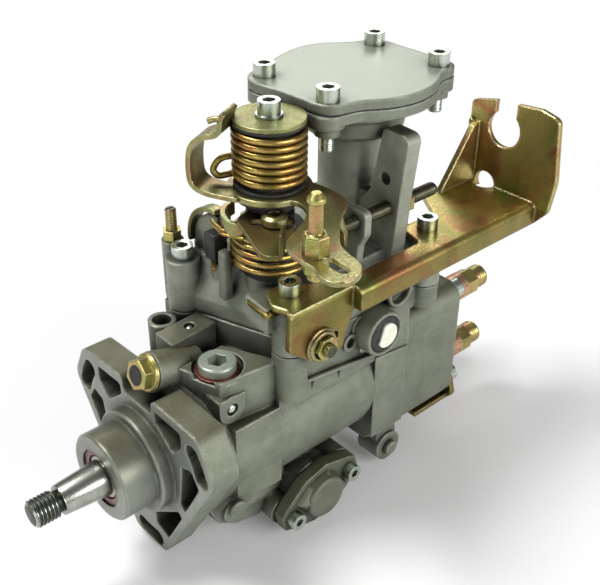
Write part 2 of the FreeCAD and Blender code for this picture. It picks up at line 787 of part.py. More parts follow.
def governor_carrier():
    gear = gear_blank(d.gear_x, 0, d.carrier_teeth, 0, d.governor_pin_r + d.fit)
    swing = Rotation(Vector(1, 0, 0), governor_turn())
    put(gear, (d.gear_x, GOV_Y, GOV_Z), swing)
    start = d.gear_x + d.gear_wide
    metal = [rod((start, GOV_Y, GOV_Z), "x", 15.2, 1.8)]
    hole = rod((start - 1, GOV_Y, GOV_Z), "x", d.governor_pin_r + d.fit, 6)
    disc = cut(metal[0], hole)
    lugs = []
    for turn in range(4):
        spin = Rotation(Vector(1, 0, 0), 90 * turn)
        for side in (-1, 1):
            low = 4.3 if side > 0 else -6.0
            thing = doc.addObject("Part::Box", fresh("lug"))
            bind(thing, "Length", 5.8)
            bind(thing, "Width", 1.7)
            bind(thing, "Height", 4)
            corner = spin.multVec(Vector(0, low, 8.5))
            put(thing, (start + 1, GOV_Y + corner.y, GOV_Z + corner.z), spin)
            lugs.append(thing)
        pin = doc.addObject("Part::Cylinder", fresh("pin"))
        bind(pin, "Radius", 1.2)
        bind(pin, "Height", 12)
        corner = spin.multVec(Vector(0, -6, 10.5))
        put(pin, (start + 4, GOV_Y + corner.y, GOV_Z + corner.z), spin.multiply(TURN["y"]))
        lugs.append(pin)
    return fuse(gear, disc, *lugs)


def flyweight(turn):
    start = d.gear_x + d.gear_wide
    outline = [(2.4, 11.4), (3.2, 12.4), (5.5, 12.4), (6.5, 11.6), (13, 11.6), (13, 8), (5.5, 8), (5.5, 5.2), (3, 5.2),
               (2.4, 8)]
    body = body_named("weight")
    sketch = add_sketch(body, "XZ", -3.5)
    add_polygon(sketch, outline)
    add_circle(sketch, (4, 10.5), 1.2 + d.fit)
    pad(body, sketch, 7)
    return put(body, (start, GOV_Y, GOV_Z), Rotation(Vector(1, 0, 0), 90 * turn))


def governor_shaft():
    return rod((40.5, GOV_Y, GOV_Z), "x", d.governor_pin_r, 57)


def governor_sleeve():
    start = d.gear_x + d.gear_wide + 5.8
    inner = d.governor_pin_r + d.fit
    end = 105 - 1.5 - d.gap - start
    profile = [(0, inner), (0, 7), (1.7, 7), (1.7, 5), (end - 2, 5), (end, 1.2), (end, 0), (end - 2.5, 0),
               (end - 2.5, inner)]
    return turned("x", (start, GOV_Y, GOV_Z), profile)


def governor_lever():
    outline = [(-19, 26), (-3, 26), (-2.2, 20), (-2.2, 11), (2.2, 11), (2.2, 20), (3, 26), (18, 26), (18, 52), (6, 52),
               (-9, 67), (-19, 67)]
    face = plate("YZ", 105 - 1.5, 3, outline)
    pivot = rod((105, -36, d.lever_pivot_z), "y", 3, 72)
    tip = rod((105, -2.2, 9.6 + 1.4), "y", 1.4, 4.4)
    neck = box((104, -2.2, 10.8), (106, 2.2, 13))
    trimmed = cut(face, box((100, -3, 8), (104.1, 3, 16)), box((105.9, -3, 8), (110, 3, 16)),
                  rod((100, -14.5, 63), "x", 1.5, 10))
    return fuse(trimmed, pivot, tip, neck)


def governor_spring():
    start = 73.64
    turns = 9
    pitch = (105 - 1.5 - d.gap - 0.54 - start) / turns
    return coil_spring("x", (start, -14.5, 63), 3.4, 0.6, turns, pitch, 12, 6)


def spill_collar():
    inner = d.plunger_r + d.fit
    low = 3.3
    profile = [(0, inner), (0, d.collar_r), (low, d.collar_r), (low, 8), (7.7, 8), (7.7, d.collar_r),
               (11, d.collar_r), (11, inner)]
    return turned("x", (99.5, 0, 0), profile)


def roller_ring():
    start = d.ring_x
    ring = rod((start, 0, 0), "x", d.cavity_r - d.fit, d.ring_wide)
    inner = rod((start - 1, 0, 0), "x", 14, d.ring_wide + 2)
    axle_x = start + d.ring_wide - 2
    pockets = []
    rollers = []
    for turn in range(4):
        swing = Rotation(Vector(1, 0, 0), 90 * turn + 45)
        for store, low, high, radius in ((pockets, 15.7, 26.3, d.roller_r + d.gap), (rollers, 16, 26, d.roller_r)):
            thing = doc.addObject("Part::Cylinder", fresh("roller"))
            bind(thing, "Radius", radius)
            bind(thing, "Height", high - low)
            corner = swing.multVec(Vector(0, 0, low))
            put(thing, (axle_x, corner.y, corner.z), swing)
            store.append(thing)
        axle = doc.addObject("Part::Cylinder", fresh("axle"))
        bind(axle, "Radius", 1.5)
        bind(axle, "Height", 14)
        corner = swing.multVec(Vector(0, 0, 14.5))
        put(axle, (axle_x, corner.y, corner.z), swing)
        rollers.append(axle)
    pin = rod((d.advance_x, 0, -25), "-z", 3.2, 13)
    knob = ball((d.advance_x, 0, d.advance_z), 4)
    foot = rod((d.advance_x, 0, -37), "-z", 3.2, 3)
    return fuse(cut(ring, inner, *pockets), pin, foot, knob, *rollers)


def timing_piston():
    body = rod((d.advance_x, -26, d.advance_z), "y", d.advance_r, 48)
    slot = box((d.advance_x - 4.1, -5.2, d.advance_z - 5), (d.advance_x + 4.1, 5.2, d.advance_z + 12))
    cup = rod((d.advance_x, 14, d.advance_z), "y", 7.5, 9)
    groove = turned("y", (d.advance_x, -19, d.advance_z), [(0, 9.2), (0, 12), (1.2, 12), (1.2, 9.2)])
    return cut(body, slot, cup, groove)


def timing_spring():
    start = 14.9
    pitch = (d.advance_half + 0.1 - start) / 6
    return coil_spring("y", (d.advance_x, start, d.advance_z), 6, 0.8, 6, pitch, 12, 6)


def cam_plate():
    start = d.ring_x + d.ring_wide + d.roller_r - 2 + d.gap
    disc = turned("x", (start, 0, 0), [(d.cam_lift, 0), (d.cam_lift, 28), (9, 28), (9, 0)])
    lobes = []
    for turn in range(4):
        spin = Rotation(Vector(1, 0, 0), 90 * turn + 45)
        points = [Vector(0, y, z) for y, z in ((-2.5, 15), (2.5, 15), (3, 27), (-3, 27))]
        wide = [Vector(float(d.cam_lift) + 0.4, y * 2.6, z) for y, z in ((-2.5, 15), (2.5, 15), (2.6, 27), (-2.6, 27))]
        thing = doc.addObject("Part::Feature", fresh("lobe"))
        thing.Shape = Part.makeLoft([Part.makePolygon(points + points[:1]), Part.makePolygon(wide + wide[:1])], True)
        put(thing, (start, 0, 0), spin)
        lobes.append(thing)
    claws = [box((66.5, -4.5, -12), (start + 3, 4.5, -5)), box((66.5, -4.5, 5), (start + 3, 4.5, 12))]
    return fuse(disc, *lobes, *claws)


def plunger():
    start = d.ring_x + d.ring_wide + d.roller_r - 2 + d.gap + 9
    long = d.joint_x + d.head_len - 11.2 - start
    profile = [(0, 0), (0, 9), (2, 9), (2, d.plunger_r), (long - 0.5, d.plunger_r),
               (long, d.plunger_r - 0.5), (long, 0)]
    body = turned("x", (start, 0, 0), profile)
    return cut(body, rod((start + 8, 0, -8), "z", 1.2, 16), rod((start + 8, 0, 0), "x", 1.2, long - 7.5))


def plunger_springs():
    start = d.ring_x + d.ring_wide + d.roller_r - 2 + d.gap + 9 + 1.6
    springs = []
    for side in (-1, 1):
        springs.append(coil_spring("x", (start, side * 20, 0), 5.6, 0.9, 5.5, 3.7, 12, 6))
    return group(*springs)


def distributor_head():
    block = rounded(box((d.joint_x + d.fit, -d.block_half, -d.block_half),
                        (d.joint_x + d.head_len, d.block_half, d.block_half - 1)),
                    d.block_round, "x", lambda p: True)
    spigot = turned("x", (d.spigot_x, 0, 0), [(0, 0), (0, d.cavity_r - 1.1), (1, d.cavity_r - 0.1),
                                          (18.2, d.cavity_r - 0.1), (18.2, 0)])
    mouth = d.joint_x + d.head_len - 10
    space = [rod((d.spigot_x - 1, 0, 0), "x", d.plunger_r + d.fit, mouth - d.spigot_x + 1.5),
             rod((mouth, 0, 0), "x", 9.05, 20)]
    for y, z in OUTLETS:
        space.append(rod((mouth - 4, y, z), "x", 7 + d.fit, 20))
        space.append(rod((mouth - 10, y, z), "x", 2, 10))
    for y, z in HEAD_SCREWS:
        space.append(rod((d.joint_x - 1, y, z), "x", d.m6_r + 0.3, d.head_len + 2))
    space.append(rod((mouth - 3, 0, -30), "z", 2, 10))
    return cut(fuse(block, spigot), *space)


def delivery_valve_holders():
    holders = []
    for y, z in OUTLETS:
        start = d.joint_x + d.head_len - 14 + d.gap
        shape = turned("x", (start, y, z), [
            (0, 0), (0, 7), (13.75, 7), (13.75, 8), (21, 8), (22, 7.4), (35, 7.4), (35, 5), (43, 5), (43, 6),
            (51.4, 6), (52.6, 4.8), (52.6, 0)])
        nut = hexagon((start + 35, y, z), "x", 13, 8)
        holders.append(cut(fuse(shape, nut), rod((start - 1, y, z), "x", 3.5, 22),
                           rod((start + 10, y, z), "x", 1.6, 60),
                           cone((start + 49, y, z), "x", 1.5, 4, 4)))
    return group(*holders)


def delivery_valves():
    valves = []
    for y, z in OUTLETS:
        start = d.joint_x + d.head_len - 14 + d.gap + 1
        valves.append(turned("x", (start, y, z), [(0, 0), (0, 2), (6, 2), (6, 3.4), (9, 3.4), (9, 1.5), (13, 1.5),
                                                  (13, 0)]))
    return group(*valves)


def head_plug():
    profile = [(0, 0), (0, 9), (9.9, 9), (9.9, 11), (17, 11), (18, 10), (18, 0)]
    start = d.joint_x + d.head_len - 9.9
    body = turned("x", (start, 0, 0), profile)
    return cut(body, hexagon((start + 12, 0, 0), "x", 8, 8))


def rear_bracket():
    rear = d.joint_x + d.head_len
    edge = -d.block_half
    outline = [(edge + 2, edge + 12, 1), (edge + 7, edge + 15.5, 2), (edge + 10.5, edge + 10.5),
               (edge + 15.5, edge + 7, 2), (edge + 15.5, edge - 3.5), (edge + 2, edge - 3.5, 1), (edge - 1.5, edge, 3)]
    flat = plate("YZ", rear, 3, outline, [((-HEAD_SCREW, -HEAD_SCREW), 3.3)])
    lip = box((rear - 26, edge + 2, edge - 3.5), (rear + 3, edge + 15.5, edge - 1))
    return cut(fuse(flat, lip), rod((rear - 16, edge + 9, edge - 6), "z", 3.2, 8))


def governor_cover():
    low = d.cover_z + d.gasket_thick
    metal = [
        plate("XY", low, 7.5, COVER_LOW),
        loft("XY", 58, COVER_MID, d.roof_z, COVER_HIGH),
        rod((d.control_x, d.control_y, 60), "z", 12, 16),
        rod((d.boost_x, d.boost_y, 62), "z", d.column_r, 63),
        plate("YZ", d.tab_x, d.tab_thick, [(-15, 60), (-15, 102.9, 5), (-37, 102.9, 3), (-37, 91.5, 3),
                                           (-33.4, 85, 4), (-31, 60)]),
        plate("YZ", d.lug_x, d.lug_thick, [(-26.5, 134.5, 3), (-41.6, 133.6, 4), (-38.5, 104.8, 6),
                                           (-35, 62), (-12, 62), (-14, 96, 3), (-20.7, 103.2, 6)]),
        plate("XY", 64, d.seat_z - 64, [(46.4, -19.9), (49.4, -18.7), (62, -21.5), (60, -30), (52.3, -35),
                                        (44.9, -35.2)]),
        rod((82, 1.2, 68), "z", 2.2, 12.8),
        box((121, -22, 70), (126, -8, 100)),
        rod((48.5, 36, low), "z", 5.2, 29),
        rod((58, 11, 62), "z", 5.5, 14),
        rod((61, 20, 62), "z", 7, 14),
        rod((65, 31, low), "z", 6.5, 25),
    ]
    for x, y, _ in COVER_SCREWS:
        metal.append(rod((x, y, low), "z", 8, d.seat_z - low))
    space = [
        plate("XY", low - 1, 59.2 - low, INNER_LOW),
        loft("XY", 58, INNER_MID, 71.5, INNER_HIGH),
        rod((d.boost_x, d.boost_y, 50), "z", 3.5 + d.fit, 80),
        rod((d.control_x, d.control_y, 50), "z", d.spindle_r + d.fit, 40),
        rod((90, d.stop_y, d.stop_z), "x", d.m6_r + d.fit, 60),
        rod((110, -29.3, 111), "x", 3, 30),
        rod((48.5, 36, 60), "z", d.m5_r + d.fit, 25),
        rod((65, 31, 60), "z", d.m5_r + d.fit, 25),
    ]
    for x, y, _ in COVER_SCREWS:
        space.append(rod((x, y, low - 1), "z", d.m6_r + 0.3, 40))
    return cut(fuse(*metal), *space)


def gaskets():
    outline = [(43, 34), (43, 29), (49.5, 9), (60, -22), (54, -31), (54, 0.5 - WALL), (136, 0.5 - WALL),
               (136, WALL - 0.5), (46, WALL - 0.5)]
    inner = [(56.5, 32), (56.5, 16), (51.9, 9.5), (61.9, -20.5), (68.5, -32.5), (121, -32.5), (121, 32)]
    sheet_gasket = cut(plate("XY", d.cover_z, d.gasket_thick, outline),
                       plate("XY", d.cover_z - 1, 3, inner),
                       rod((46, 25, 49), "z", 3.5, 4), rod((58.7, -34.3, 49), "z", 3.5, 4))
    pieces = [sheet_gasket]
    for side in (-1, 1):
        mouth = rod((d.advance_x, -d.advance_half - 4, d.advance_z), "y", d.advance_r, 2 * d.advance_half + 8)
        pieces.append(cut(diamond(side, d.advance_half, 1, 0.3), mouth))
    return group(*pieces)


def diamond(side, near, thick, less):
    """Flat two-lug plate on one end of the timing bore; near is its inner face's distance from the middle."""
    half = [(25, 4.5), (21, 7.6), (7.5, 15), (-7.5, 15), (-21, 7.6), (-25, 4.5)]
    outline = []
    for u, w in half + [(-u, -w) for u, w in half]:
        reach = 1 - less / 15
        u, w = u * reach, w * reach
        outline.append((d.advance_x + u * cosine(TILT) - w * sine(TILT), d.advance_z + u * sine(TILT) + w * cosine(TILT)))
    start = near if side < 0 else -(size(near) + thick)
    body = plate("XZ", start, thick, outline)
    edge = -(size(near) + thick) - 1 if side < 0 else size(near) - 1
    holes = [rod((x, edge, z), "y", d.m5_r + 0.3, size(thick) + 2) for x, z in ADVANCE_SCREWS]
    return cut(body, *holes)


def timing_covers():
    covers = []
    inner = d.advance_half + 1
    outer = inner + d.advance_flange_thick
    for side in (-1, 1):
        axis = "-y" if side < 0 else "y"
        tall = 5 if side < 0 else 3
        flat = diamond(side, inner, d.advance_flange_thick, 0)
        here = (d.advance_x, 0, d.advance_z)
        dome = turned(axis, here, [(outer - 0.5, 0), (outer - 0.5, 12.6), (outer + 0.6, 12.6), (outer + tall - 0.8, 11.2),
                                   (outer + tall, 10.2), (outer + tall, 0)])
        stub = turned(axis, here, [(inner - 4, 8.2), (inner - 4, d.advance_r - 0.1), (inner + 1, d.advance_r - 0.1),
                                   (inner + 1, 8.2)])
        covers.append(fuse(flat, dome, stub))
    return group(*covers)


def timing_screws():
    screws = []
    for x, z in ADVANCE_SCREWS:
        seat = d.advance_half + 1 + d.advance_flange_thick
        screws.append(m5_screw((x, -seat, z), "-y", 18))
        screws.append(m5_screw((x, seat, z), "y", 18))
    return group(*screws)


def m6_cap_screws():
    screws = []
    for x, y, strip in COVER_SCREWS:
        seat = d.seat_z + (d.strip_thick if strip else 0)
        deep = 35 if x > 100 else 38
        screws.append(m6_screw((x, y, seat), "z", size(seat) - d.seat_z + deep - 1))
    for x, y in BOOST_BOLTS:
        screws.append(m6_screw((x, y, d.boost_seat_z), "z", 22))
    for y, z in HEAD_SCREWS:
        thick = 3 if (y.value < 0 and z.value < 0) else 0
        screws.append(m6_screw((d.joint_x + d.head_len + thick, y, z), "x", d.head_len + thick + 12))
    return group(*screws)


def boost_outline(low, high):
    """Round capsule with straight sides between four screw lobes."""
    tall = size(high) - low
    pieces = [rod((d.boost_x, d.boost_y, low), "z", d.boost_r, tall)]
    for x, y in BOOST_BOLTS:
        pieces.append(rod((x, y, low), "z", d.lobe_r, tall))
    pieces.append(box((d.boost_x - d.boost_side, d.boost_y - d.boost_bolt_y, low),
                      (d.boost_x + d.boost_side, d.boost_y + d.boost_bolt_y, high)))
    return pieces


def boost_housing():
    top = d.boost_seat_z - d.boost_cover_thick
    metal = boost_outline(top - d.boost_flange_thick, top)
    metal.append(turned("z", (d.boost_x, d.boost_y, 125.02), [(0, 0), (0, 21), (3, 24.5), (9.5, 25.5), (15.5, 32), (15.5, 0)]))
    for x, y in BOOST_BOLTS:
        metal.append(rod((x, y, 136), "z", 5.5, 5))
    space = [
        rod((d.boost_x, d.boost_y, 131), "z", 22, 30),
        rod((d.boost_x, d.boost_y, 120), "z", 3.5 + d.fit, 30),
        rod((d.boost_x - 44, d.boost_y - 8, 142.6), "x", 1.6, 8),
    ]
    for x, y in BOOST_BOLTS:
        space.append(rod((x, y, 120), "z", d.m6_r + d.fit, 40))
    return cut(fuse(*metal), *space)


def boost_cover():
    low = d.boost_seat_z - d.boost_cover_thick + d.fit
    metal = boost_outline(low, d.boost_seat_z)
    space = [rod((d.boost_x, d.boost_y, low - 1), "z", 22, 3.2)]
    for x, y in BOOST_BOLTS:
        space.append(rod((x, y, low - 1), "z", d.m6_r + 0.3, 10))
    return cut(fuse(*metal), *space)


def boost_diaphragm():
    return turned("z", (d.boost_x, d.boost_y, 143.4), [(0, 3.52), (0, 18), (2.2, 18), (2.2, 21.2), (3.2, 21.2), (3.2, 18.6),
                                                       (4.2, 17), (4.2, 3.52)])


def boost_pin():
    return turned("z", (d.boost_x, d.boost_y, 58), [(0, 0), (0, 1.6), (3, 3.5), (18, 3.5), (26, 2.6), (44, 2.6), (50, 3.5),
                                                    (89.6, 3.5), (89.6, 0)])


def boost_spring():
    return coil_spring("z", (d.boost_x, d.boost_y, 132.1), 14, 0.9, 4, 2.55, 16, 6)


def fuel_inlet_union():
    lean = Rotation(Vector(0, 1, 0), -76)
    out = lean.multVec(Vector(0, 0, 1))
    pieces = []
    base = Vector(15.9, 0, 41.2)

    def along(amount, radius, length, word):
        thing = doc.addObject("Part::Cylinder" if word == "rod" else "Part::Prism", fresh(word))
        if word != "rod":
            thing.Polygon = 6
        bind(thing, "Radius" if word == "rod" else "Circumradius", radius)
        bind(thing, "Height", length)
        corner = base + out * amount
        put(thing, (corner.x, corner.y, corner.z), lean)
        return thing

    pieces.append(along(0, 4.5, 4, "rod"))
    pieces.append(along(4, 15 / math.sqrt(3), 8, "hexagon"))
    pieces.append(along(11, 6, 8, "rod"))
    bore = along(4, 3, 20, "rod")
    return cut(fuse(*pieces), bore)


def pressure_valve():
    body = turned("z", (30, 21.8, 34.2), [(0, 0), (0, 4.5), (10, 4.5), (11, 3.6), (11, 0)])
    return cut(body, box((24, 21.2, 43), (36, 22.4, 50)))


def sealing_washers():
    return group(washer((31, -18, 42.52), "z", 10, 6.1, 1.4), washer((108.2, -45.5, 40.6), "y", 8.9, 7.1, 0.95))


def housing_plug():
    body = turned("z", (31, -18, 34), [(0, 0), (0, 6), (9.95, 6), (9.95, 8.5), (13.8, 8.5), (14.4, 7.9), (14.4, 0)])
    return cut(body, hexagon((31, -18, 42), "z", 8, 10))


def sealing_balls():
    return group(ball((36.3, 9.3, d.cover_z - 2.7), 2.5), ball((28.2, -29, 30.5), 3))


def solenoid_plug():
    body = turned("-y", (108.2, -39, 40.6), [(0, 0), (0, 7), (6.55, 7), (6.55, 8.6), (8.2, 8.6), (8.2, 6), (9.6, 6),
                                             (9.6, 0)])
    return cut(body, box((101, -52, 43.8), (115, -47.2, 50)))


def cable_bracket():
    low = d.seat_z
    top = d.seat_z + d.strip_thick
    fold = d.strip_fold_y
    rear = d.strip_rear
    outline = [(47.5, d.leg_y - 3), (d.leg_end_x, d.leg_y - 3), (d.leg_end_x + 2, fold), (rear, fold), (rear, -8),
               (172, -8, 6), (160, -26, 5), (137, -26, 3), (133, -41.5, 4), (95, -41.5, 3), (90, -38, 3), (68, -34, 3),
               (66, -27, 4), (51, -27, 5), (46.3, -36.7, 5), (48.7, -43.6, 3)]
    strip = plate("XY", low, d.strip_thick, outline)
    fold_line = float(fold) - 2.5
    top_line = float(top) - 0.5
    flange = box((d.leg_end_x, fold - 3, low - d.strip_drop), (rear, fold, top))
    leg_outline = [(46.5, 60, 4), (59.3, 50.5, 5), (77.4, 48, 4), (79.2, 56.5, 4), (d.leg_end_x + 2, 69, 3),
                   (d.leg_end_x + 2, top), (47.5, top)]
    leg = plate("XZ", -d.leg_y, 3, leg_outline, [((64, 57), 3.2), ((72.5, 57.5), 2.4)])
    join_box = box((d.leg_end_x, fold - 3, low - d.strip_drop), (d.leg_end_x + 3, d.leg_y, top))
    face = [(-8, low), (-8, 121, 3), (-21, 124.2, 3), (-49, 126.8, 3), (-59.5, 124.5, 4), (-62.9, 93, 20),
            (-60.5, 76, 8), (fold - 3, low - d.strip_drop, 2), (fold, low - d.strip_drop), (fold, low)]
    upright = plate("YZ", rear - d.plate_thick, d.plate_thick, face)
    gusset = plate("XZ", 11, 3, [(177, low), (rear, low), (rear, 109.5), (204, 110.5), (201, 109.5)])
    mouth_half = d.keyhole_neck / 2
    space = [
        rod((rear - 10, d.keyhole_y, d.keyhole_z), "x", d.keyhole_r, 20),
        box((rear - 10, d.keyhole_y - mouth_half, d.keyhole_z), (rear + 5, d.keyhole_y + mouth_half, 135)),
        ball((rear - 2, -21, low + 3.5), 6),
    ]
    for x, y, strip_on in COVER_SCREWS:
        if strip_on:
            space.append(rod((x, y, low - 1), "z", d.m6_r + 0.3, 8))
    folded = rounded(fuse(strip, flange, leg, join_box), 3.5, "x", lambda p: p.y < fold_line and p.z > top_line)
    return cut(fuse(folded, upright, gusset), *space)


def hex_nuts():
    lug_rear = d.lug_x + d.lug_thick + 0.02
    nut = cut(hexagon((lug_rear, d.stop_y, d.stop_z), "x", 10, 5),
              rod((lug_rear - 2, d.stop_y, d.stop_z), "x", d.m6_r + d.fit, 10))
    second = cut(hexagon((48.5, 36, 79.8), "z", 8, 5), rod((48.5, 36, 78), "z", d.m5_r + d.fit, 10))
    outer = d.leg_y - 3.02
    third = cut(hexagon((64, outer, 57), "-y", 10, 5), rod((64, outer + 1, 57), "-y", d.m6_r + d.fit, 10))
    return group(nut, second, third)


def adjusting_screws():
    stop = turned("x", (d.stop_tip_x, d.stop_y, d.stop_z), [(0, 0), (0, 2.2), (0.8, 3), (60, 3), (61, 2.2), (61, 0)])
    stop = cut(stop, hexagon((d.stop_tip_x + 56, d.stop_y, d.stop_z), "x", 3, 8))
    stud = turned("z", (48.5, 36, 62), [(0, 0), (0, 2.5), (33, 2.5), (33.5, 2), (33.5, 0)])
    stud = cut(stud, box((44, 35.6, 93), (53, 36.4, 97)))
    bolt = turned("y", (64, d.leg_y - 10.35, 57), [(0, 0), (0, 3), (10.38, 3), (10.38, 5.4), (13, 5.4), (13, 0)])
    return group(stop, stud, bolt)


def cold_start_plate():
    shape = plate("XZ", -31.5, 2.5, [(54, 90), (67, 92), (70, 87), (55, 80)])
    drum = rod((65, 31, 76), "z", 5.2, 6)
    return fuse(shape, drum)


def rubber_stop():
    block = box((54.8, 17.5, 76.02), (62, 25.3, 87))
    return rounded(block, 1.5, "z", lambda p: True)


def throttle_shaft():
    here = (d.control_x, d.control_y, 67.4)
    body = turned("z", here, [(0, 0), (0, d.spindle_r), (75.6, d.spindle_r), (75.6, 0)])
    pin = rod((d.control_x + 2, -14, 57.5), "z", 1.5, 11)
    hole = rod((d.control_x, d.control_y, 135), "z", d.m6_r + d.fit, 10)
    return cut(fuse(body, pin), hole)


def throttle_lever():
    low = d.lever_z
    outline = [(48.2, -88.2, 7), (59.7, -66.9, 9), (74, -48.9, 6), (83.6, -43.2, 4), (85.2, -33, 5), (80, -12, 8),
               (74, 2, 5), (66, 6, 5), (58, 3, 4), (48.3, -8.8, 3), (54, -30, 6), (38.3, -56.7, 5), (33.4, -70, 5),
               (31.2, -88.6, 6.5)]
    flat = plate("XY", low, d.lever_thick, outline)
    face = d.stop_tip_x - d.gap
    bent = [(82.5, low + 2), (84.7, low + 2), (84.7, 112), (face - 2, 100), (face, 98), (face, 90), (face - 2.2, 90),
            (face - 2.2, 97), (86.4, 99.5), (82.5, 112)]
    stop = plate("XZ", 26, 10, bent)
    hook = [(-30, low), (-14.5, low), (-11.2, 117), (-10.2, 121), (-10, 132.5), (-12.3, 139), (-18.5, 142.6),
            (-23, 144.6), (-23.8, 148.4), (-25.5, 153.6), (-27.5, 153.6), (-25.45, 147.9), (-24.6, 146.2),
            (-19.3, 140.7), (-13.9, 137.6), (-12, 132), (-12.2, 121.5), (-13, 118.5), (-15, low + 2), (-30, low + 2)]
    arm = put(plate("XZ", 38.9, 13, hook), (0, 0, 0), Rotation(Vector(0, 0, 1), 117.3))
    shaft_hole = rod((d.control_x, d.control_y, low - 1), "z", d.spindle_r + 0.02, 6)
    stud_hole = rod((42.4, -67.1, low - 1), "z", 3.22, 6)
    slot = plate("XY", low - 1, 6, [(39.8, -84, 2.5), (45, -84, 2.5), (45, -74, 2.5), (39.8, -74, 2.5)])
    return cut(fuse(flat, stop, arm), shaft_hole, stud_hole, slot)


def lever_stud():
    low = d.lever_z
    base = hexagon((42.4, -67.1, low + d.lever_thick + 0.02), "z", 13, 9)
    shaft = turned("z", (42.4, -67.1, low - 8), [(0, 0), (0, 3.2), (24, 3.2), (26, 3.2), (27, 2.4), (29, 2.4),
                                                (30, 3.9), (35, 3.9), (37, 2.8), (37, 0)])
    nut = hexagon((42.4, -67.1, low - 5.1), "z", 10, 5)
    return fuse(base, shaft, nut)


def torsion_spring():
    return coil_spring("z", (d.control_x, d.control_y, 123.8), d.spring_r, d.spring_wire_r, 6.3, 3.02, 24, 8, 100)


def spring_rings():
    here = d.lever_z + d.lever_thick + 0.02
    low = washer((d.control_x, d.control_y, here), "z", 15.3, d.spindle_r + 0.02, 4.6)
    core = washer((d.control_x, d.control_y, 118), "z", 12.5, d.spindle_r + 0.02, 25)
    top = washer((d.control_x, d.control_y, 144.4), "z", 15.4, d.spindle_r + 0.02, 1.7)
    neck = washer((d.control_x, d.control_y, 142), "z", 12.5, d.spindle_r + 0.02, 3)
    under = washer((d.control_x, d.control_y, 108.1), "z", 12, d.spindle_r + 0.02, 7.4)
    return group(fuse(low, core, neck, top), under)


def spring_cap():
    return washer((d.control_x, d.control_y, 146.12), "z", d.cap_r, d.m6_r + d.fit, d.cap_thick)


def cap_screw():
    here = (d.control_x, d.control_y, 146.14 + d.cap_thick)
    base = washer(here, "z", 5.8, 2, 1.2)
    screw = socket_screw((d.control_x, d.control_y, 147.34 + d.cap_thick), "z", d.m6_r, 4.8, 5.6, d.m6_key, 12)
    return fuse(base, screw)


def return_spring():
    return coil_spring("z", (d.control_x, d.control_y, d.return_low_z), d.return_r, d.return_wire_r, 3.4, 3.9, 24, 8, 40)


def adjuster_plate():
    low = 105.2
    outline = [(51.8, -9.1, 3), (36.8, -42, 4), (43.8, -47.6, 1), (70.5, -30.4, 4), (77, -24), (78, -14), (76, 0),
               (69, 3.5), (56, 2, 3)]
    tab = plate("XY", low, 9.8, [(43.8, -47.6), (48.6, -44.5), (47.5, -42.8), (42.7, -45.9)])
    slot = plate("XY", low - 1, 4, [(48.6, -20.4, 3), (51.9, -15.4, 3), (66.6, -25.2, 3), (63.3, -30.2, 3)])
    flat = fuse(plate("XY", low, 2, outline), tab)
    hub = rod((d.control_x, d.control_y, 99), "z", 11, 7.5)
    hole = rod((d.control_x, d.control_y, 90), "z", d.spindle_r + 0.02, 30)
    return cut(fuse(cut(flat, slot), hub), hole, rod((59.5, -24, 100), "z", 3.05, 10))


def adjuster_screw():
    body = turned("z", (59.5, -24, 101), [(0, 0), (0, 3), (7.1, 3), (7.1, 5.5), (10, 5.5), (11, 4), (11, 0)])
    return cut(body, hexagon((59.5, -24, 109), "z", 5, 5))


def hub_ring():
    return washer((d.control_x, d.control_y, 76.3), "z", 12, d.spindle_r + 0.02, 7)


PIECES = {
    "pump_housing": pump_housing,
    "shaft_seal": shaft_seal,
    "shaft_bush": shaft_bush,
    "vane_cam_ring": vane_cam_ring,
    "vane_pump_plate": pump_plate,
    "distributor_head": distributor_head,
    "m6_cap_screws": m6_cap_screws,
    "delivery_valve_holders": delivery_valve_holders,
    "head_plug": head_plug,
    "rear_bracket": rear_bracket,
    "governor_cover": governor_cover,
    "gaskets": gaskets,
    "boost_housing": boost_housing,
    "boost_cover": boost_cover,
    "fuel_inlet_union": fuel_inlet_union,
    "sealing_washers": sealing_washers,
    "pressure_valve": pressure_valve,
    "housing_plug": housing_plug,
    "sealing_balls": sealing_balls,
    "timing_covers": timing_covers,
    "timing_screws": timing_screws,
    "governor_shaft": governor_shaft,
    "cable_bracket": cable_bracket,
    "hex_nuts": hex_nuts,
    "adjusting_screws": adjusting_screws,
    "cold_start_plate": cold_start_plate,
    "rubber_stop": rubber_stop,
    "solenoid_plug": solenoid_plug,
    "plunger_springs": plunger_springs,
    "return_spring": return_spring,
    "drive_shaft": drive_shaft,
    "vane_rotor": vane_rotor,
    "governor_drive_gear": drive_gear,
    "cam_plate": cam_plate,
    "plunger": plunger,
    "roller_ring": roller_ring,
    "timing_piston": timing_piston,
    "timing_spring": timing_spring,
    "governor_carrier": governor_carrier,
    "flyweight_1": lambda: flyweight(0),
    "flyweight_2": lambda: flyweight(1),
    "flyweight_3": lambda: flyweight(2),
    "flyweight_4": lambda: flyweight(3),
    "governor_sleeve": governor_sleeve,
    "governor_lever": governor_lever,
    "spill_collar": spill_collar,
    "governor_spring": governor_spring,
    "throttle_shaft": throttle_shaft,
    "throttle_lever": throttle_lever,
    "torsion_spring": torsion_spring,
    "spring_rings": lambda: group(spring_rings(), hub_ring()),
    "spring_cap": spring_cap,
    "cap_screw": cap_screw,
    "adjuster_plate": adjuster_plate,
    "adjuster_screw": adjuster_screw,
    "lever_stud": lever_stud,
    "boost_diaphragm": boost_diaphragm,
    "boost_pin": boost_pin,
    "boost_spring": boost_spring,
    "delivery_valves": delivery_valves,
}

